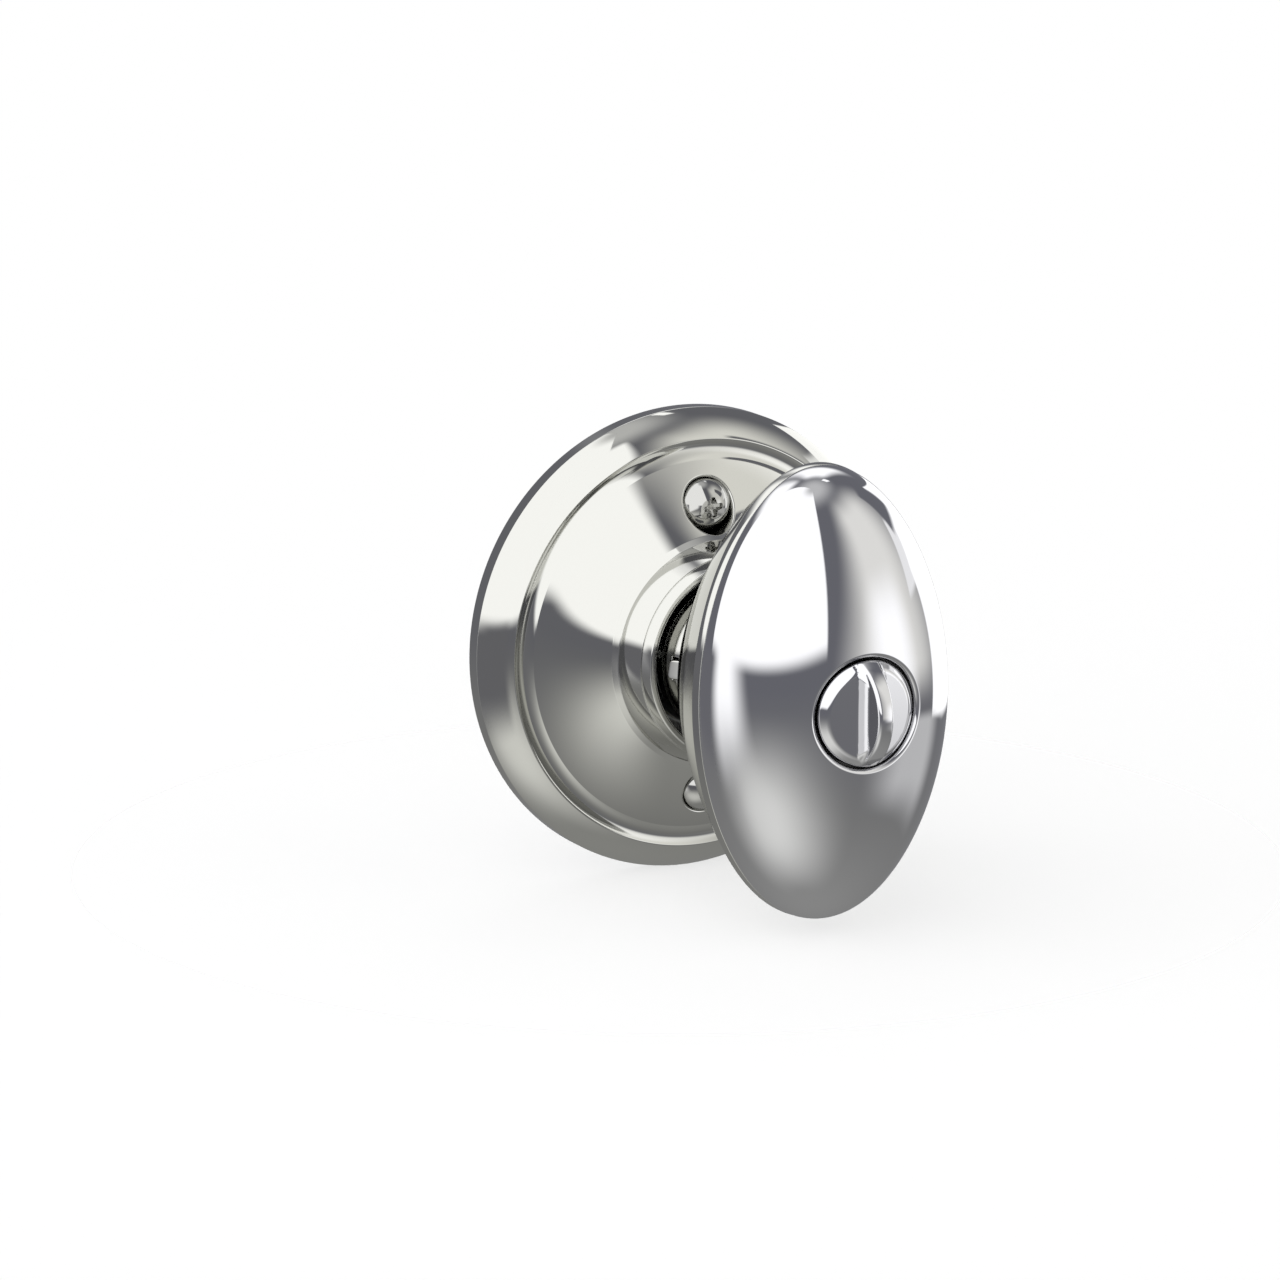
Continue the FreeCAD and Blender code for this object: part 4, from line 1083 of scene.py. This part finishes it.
def cardPoints(corners):
    # Bilinear blend of the four corners
    u, v = np.meshgrid(np.linspace(0, 1, 25), np.linspace(0, 1, 19))
    u, v = u[..., None], v[..., None]
    a, b, c, d = np.array(corners, float)
    return (1 - u) * (1 - v) * a + u * (1 - v) * b + u * v * c + (1 - u) * v * d


def makeCard(name, points, colour, soft, oneSided=False):
    # Emission that fades at the sheet's edges; a card with one side can't be seen from its back
    material, tree, glow = newMaterial(name)
    uv = addNode(tree, "ShaderNodeUVMap", uv_map="UVMap").outputs[0]
    values = dict(zip(("UV", "Left", "Right", "Lower", "Upper"), (uv, *soft)))
    mask = addNode(tree, "ShaderNodeGroup", values, node_tree=softEdge).outputs["Mask"]
    if oneSided:
        back = addNode(tree, "ShaderNodeNewGeometry").outputs["Backfacing"]
        mask = mathNode(tree, "MULTIPLY", mask, mathNode(tree, "SUBTRACT", 1.0, back))
    feed(tree, glow, {"Base Color": (0, 0, 0, 1), "Specular IOR Level": 0.0, "Emission Color": (*colour, 1),
                      "Emission Strength": 1.0, "Alpha": mask})
    return stageSheet(name, points, material)


def makeDome():
    # Slate tent all round; below the horizon it turns a little lighter towards the nadir
    k = studio
    material, tree, unused = newMaterial("slateTent")
    tree.nodes.remove(unused)
    up = addNode(tree, "ShaderNodeSeparateXYZ", {0: objectPlace(tree)}).outputs["Z"]
    share = mathNode(tree, "MULTIPLY_ADD", up, 0.5 / (k["domeRadius"] * mm), 0.5)
    ramp = addNode(tree, "ShaderNodeValToRGB", {0: share})
    stops = ramp.color_ramp.elements
    stops.new(k["rampStops"][1])
    for stop, position, colour in zip(stops, k["rampStops"], (k["nadir"], k["under"], k["slate"])):
        stop.position, stop.color = position, (*colour, 1)
    glow = addNode(tree, "ShaderNodeEmission", {"Color": ramp.outputs[0]})
    feed(tree, tree.nodes["Material Output"], {"Surface": glow.outputs[0]})
    lon, lat = np.meshgrid(np.linspace(-180, 180, 49), np.linspace(-90, 90, 25))
    stageSheet("slateTent", aimed(lon, lat, k["domeRadius"] * mm), material)


def makeFloor():
    # Disc that fades out with distance, so it has no horizon: alpha = shown * (1 - smoothstep(r))
    k = studio
    angles = np.linspace(0, fullTurn, 65)
    radius = np.linspace(0, k["floorRadius"], 8)[:, None]
    height = np.full_like(radius * angles, k["floorHeight"])
    points = np.stack([radius * np.cos(angles), radius * np.sin(angles), height], -1)
    material, tree, shader = newMaterial("paleFloor")
    distance = addNode(tree, "ShaderNodeVectorMath", {0: objectPlace(tree)}, operation="LENGTH")
    near, far = k["floorFades"]
    values = {"Value": distance.outputs["Value"], "From Min": near * mm, "From Max": far * mm,
              "To Min": k["floorShown"], "To Max": 0.0}
    shown = addNode(tree, "ShaderNodeMapRange", values, interpolation_type="SMOOTHSTEP").outputs[0]
    feed(tree, shader, {"Base Color": (*k["floorColor"], 1), "Roughness": 0.9, "Specular IOR Level": 0.0,
                        "Alpha": shown})
    floor = stageSheet("floor", points * mm, material)
    floor.visible_camera = True
    floor.visible_glossy = False


world = bpy.data.worlds.new("studio")
bpy.context.scene.world = world
world.use_nodes = True
world.node_tree.nodes["Background"].inputs["Color"].default_value = (1, 1, 1, 1)
makeDome()
for order, (name, (corners, level, soft)) in enumerate(cards.items()):
    direction = cardPoints(corners)
    distance = (studio["domeRadius"] - studio["cardStep"] * (order + 1)) * mm
    makeCard(name, aimed(direction[..., 0], direction[..., 1], distance), np.multiply(level, (1, 1, 1)), soft)
for name, (corners, colour, oneSided, soft) in nearCards.items():
    sheet = makeCard(name, cardPoints(corners) * mm, colour, soft, oneSided)
    sheet.visible_shadow = False
    sheet.visible_diffuse = False
makeFloor()
print("studio ready")
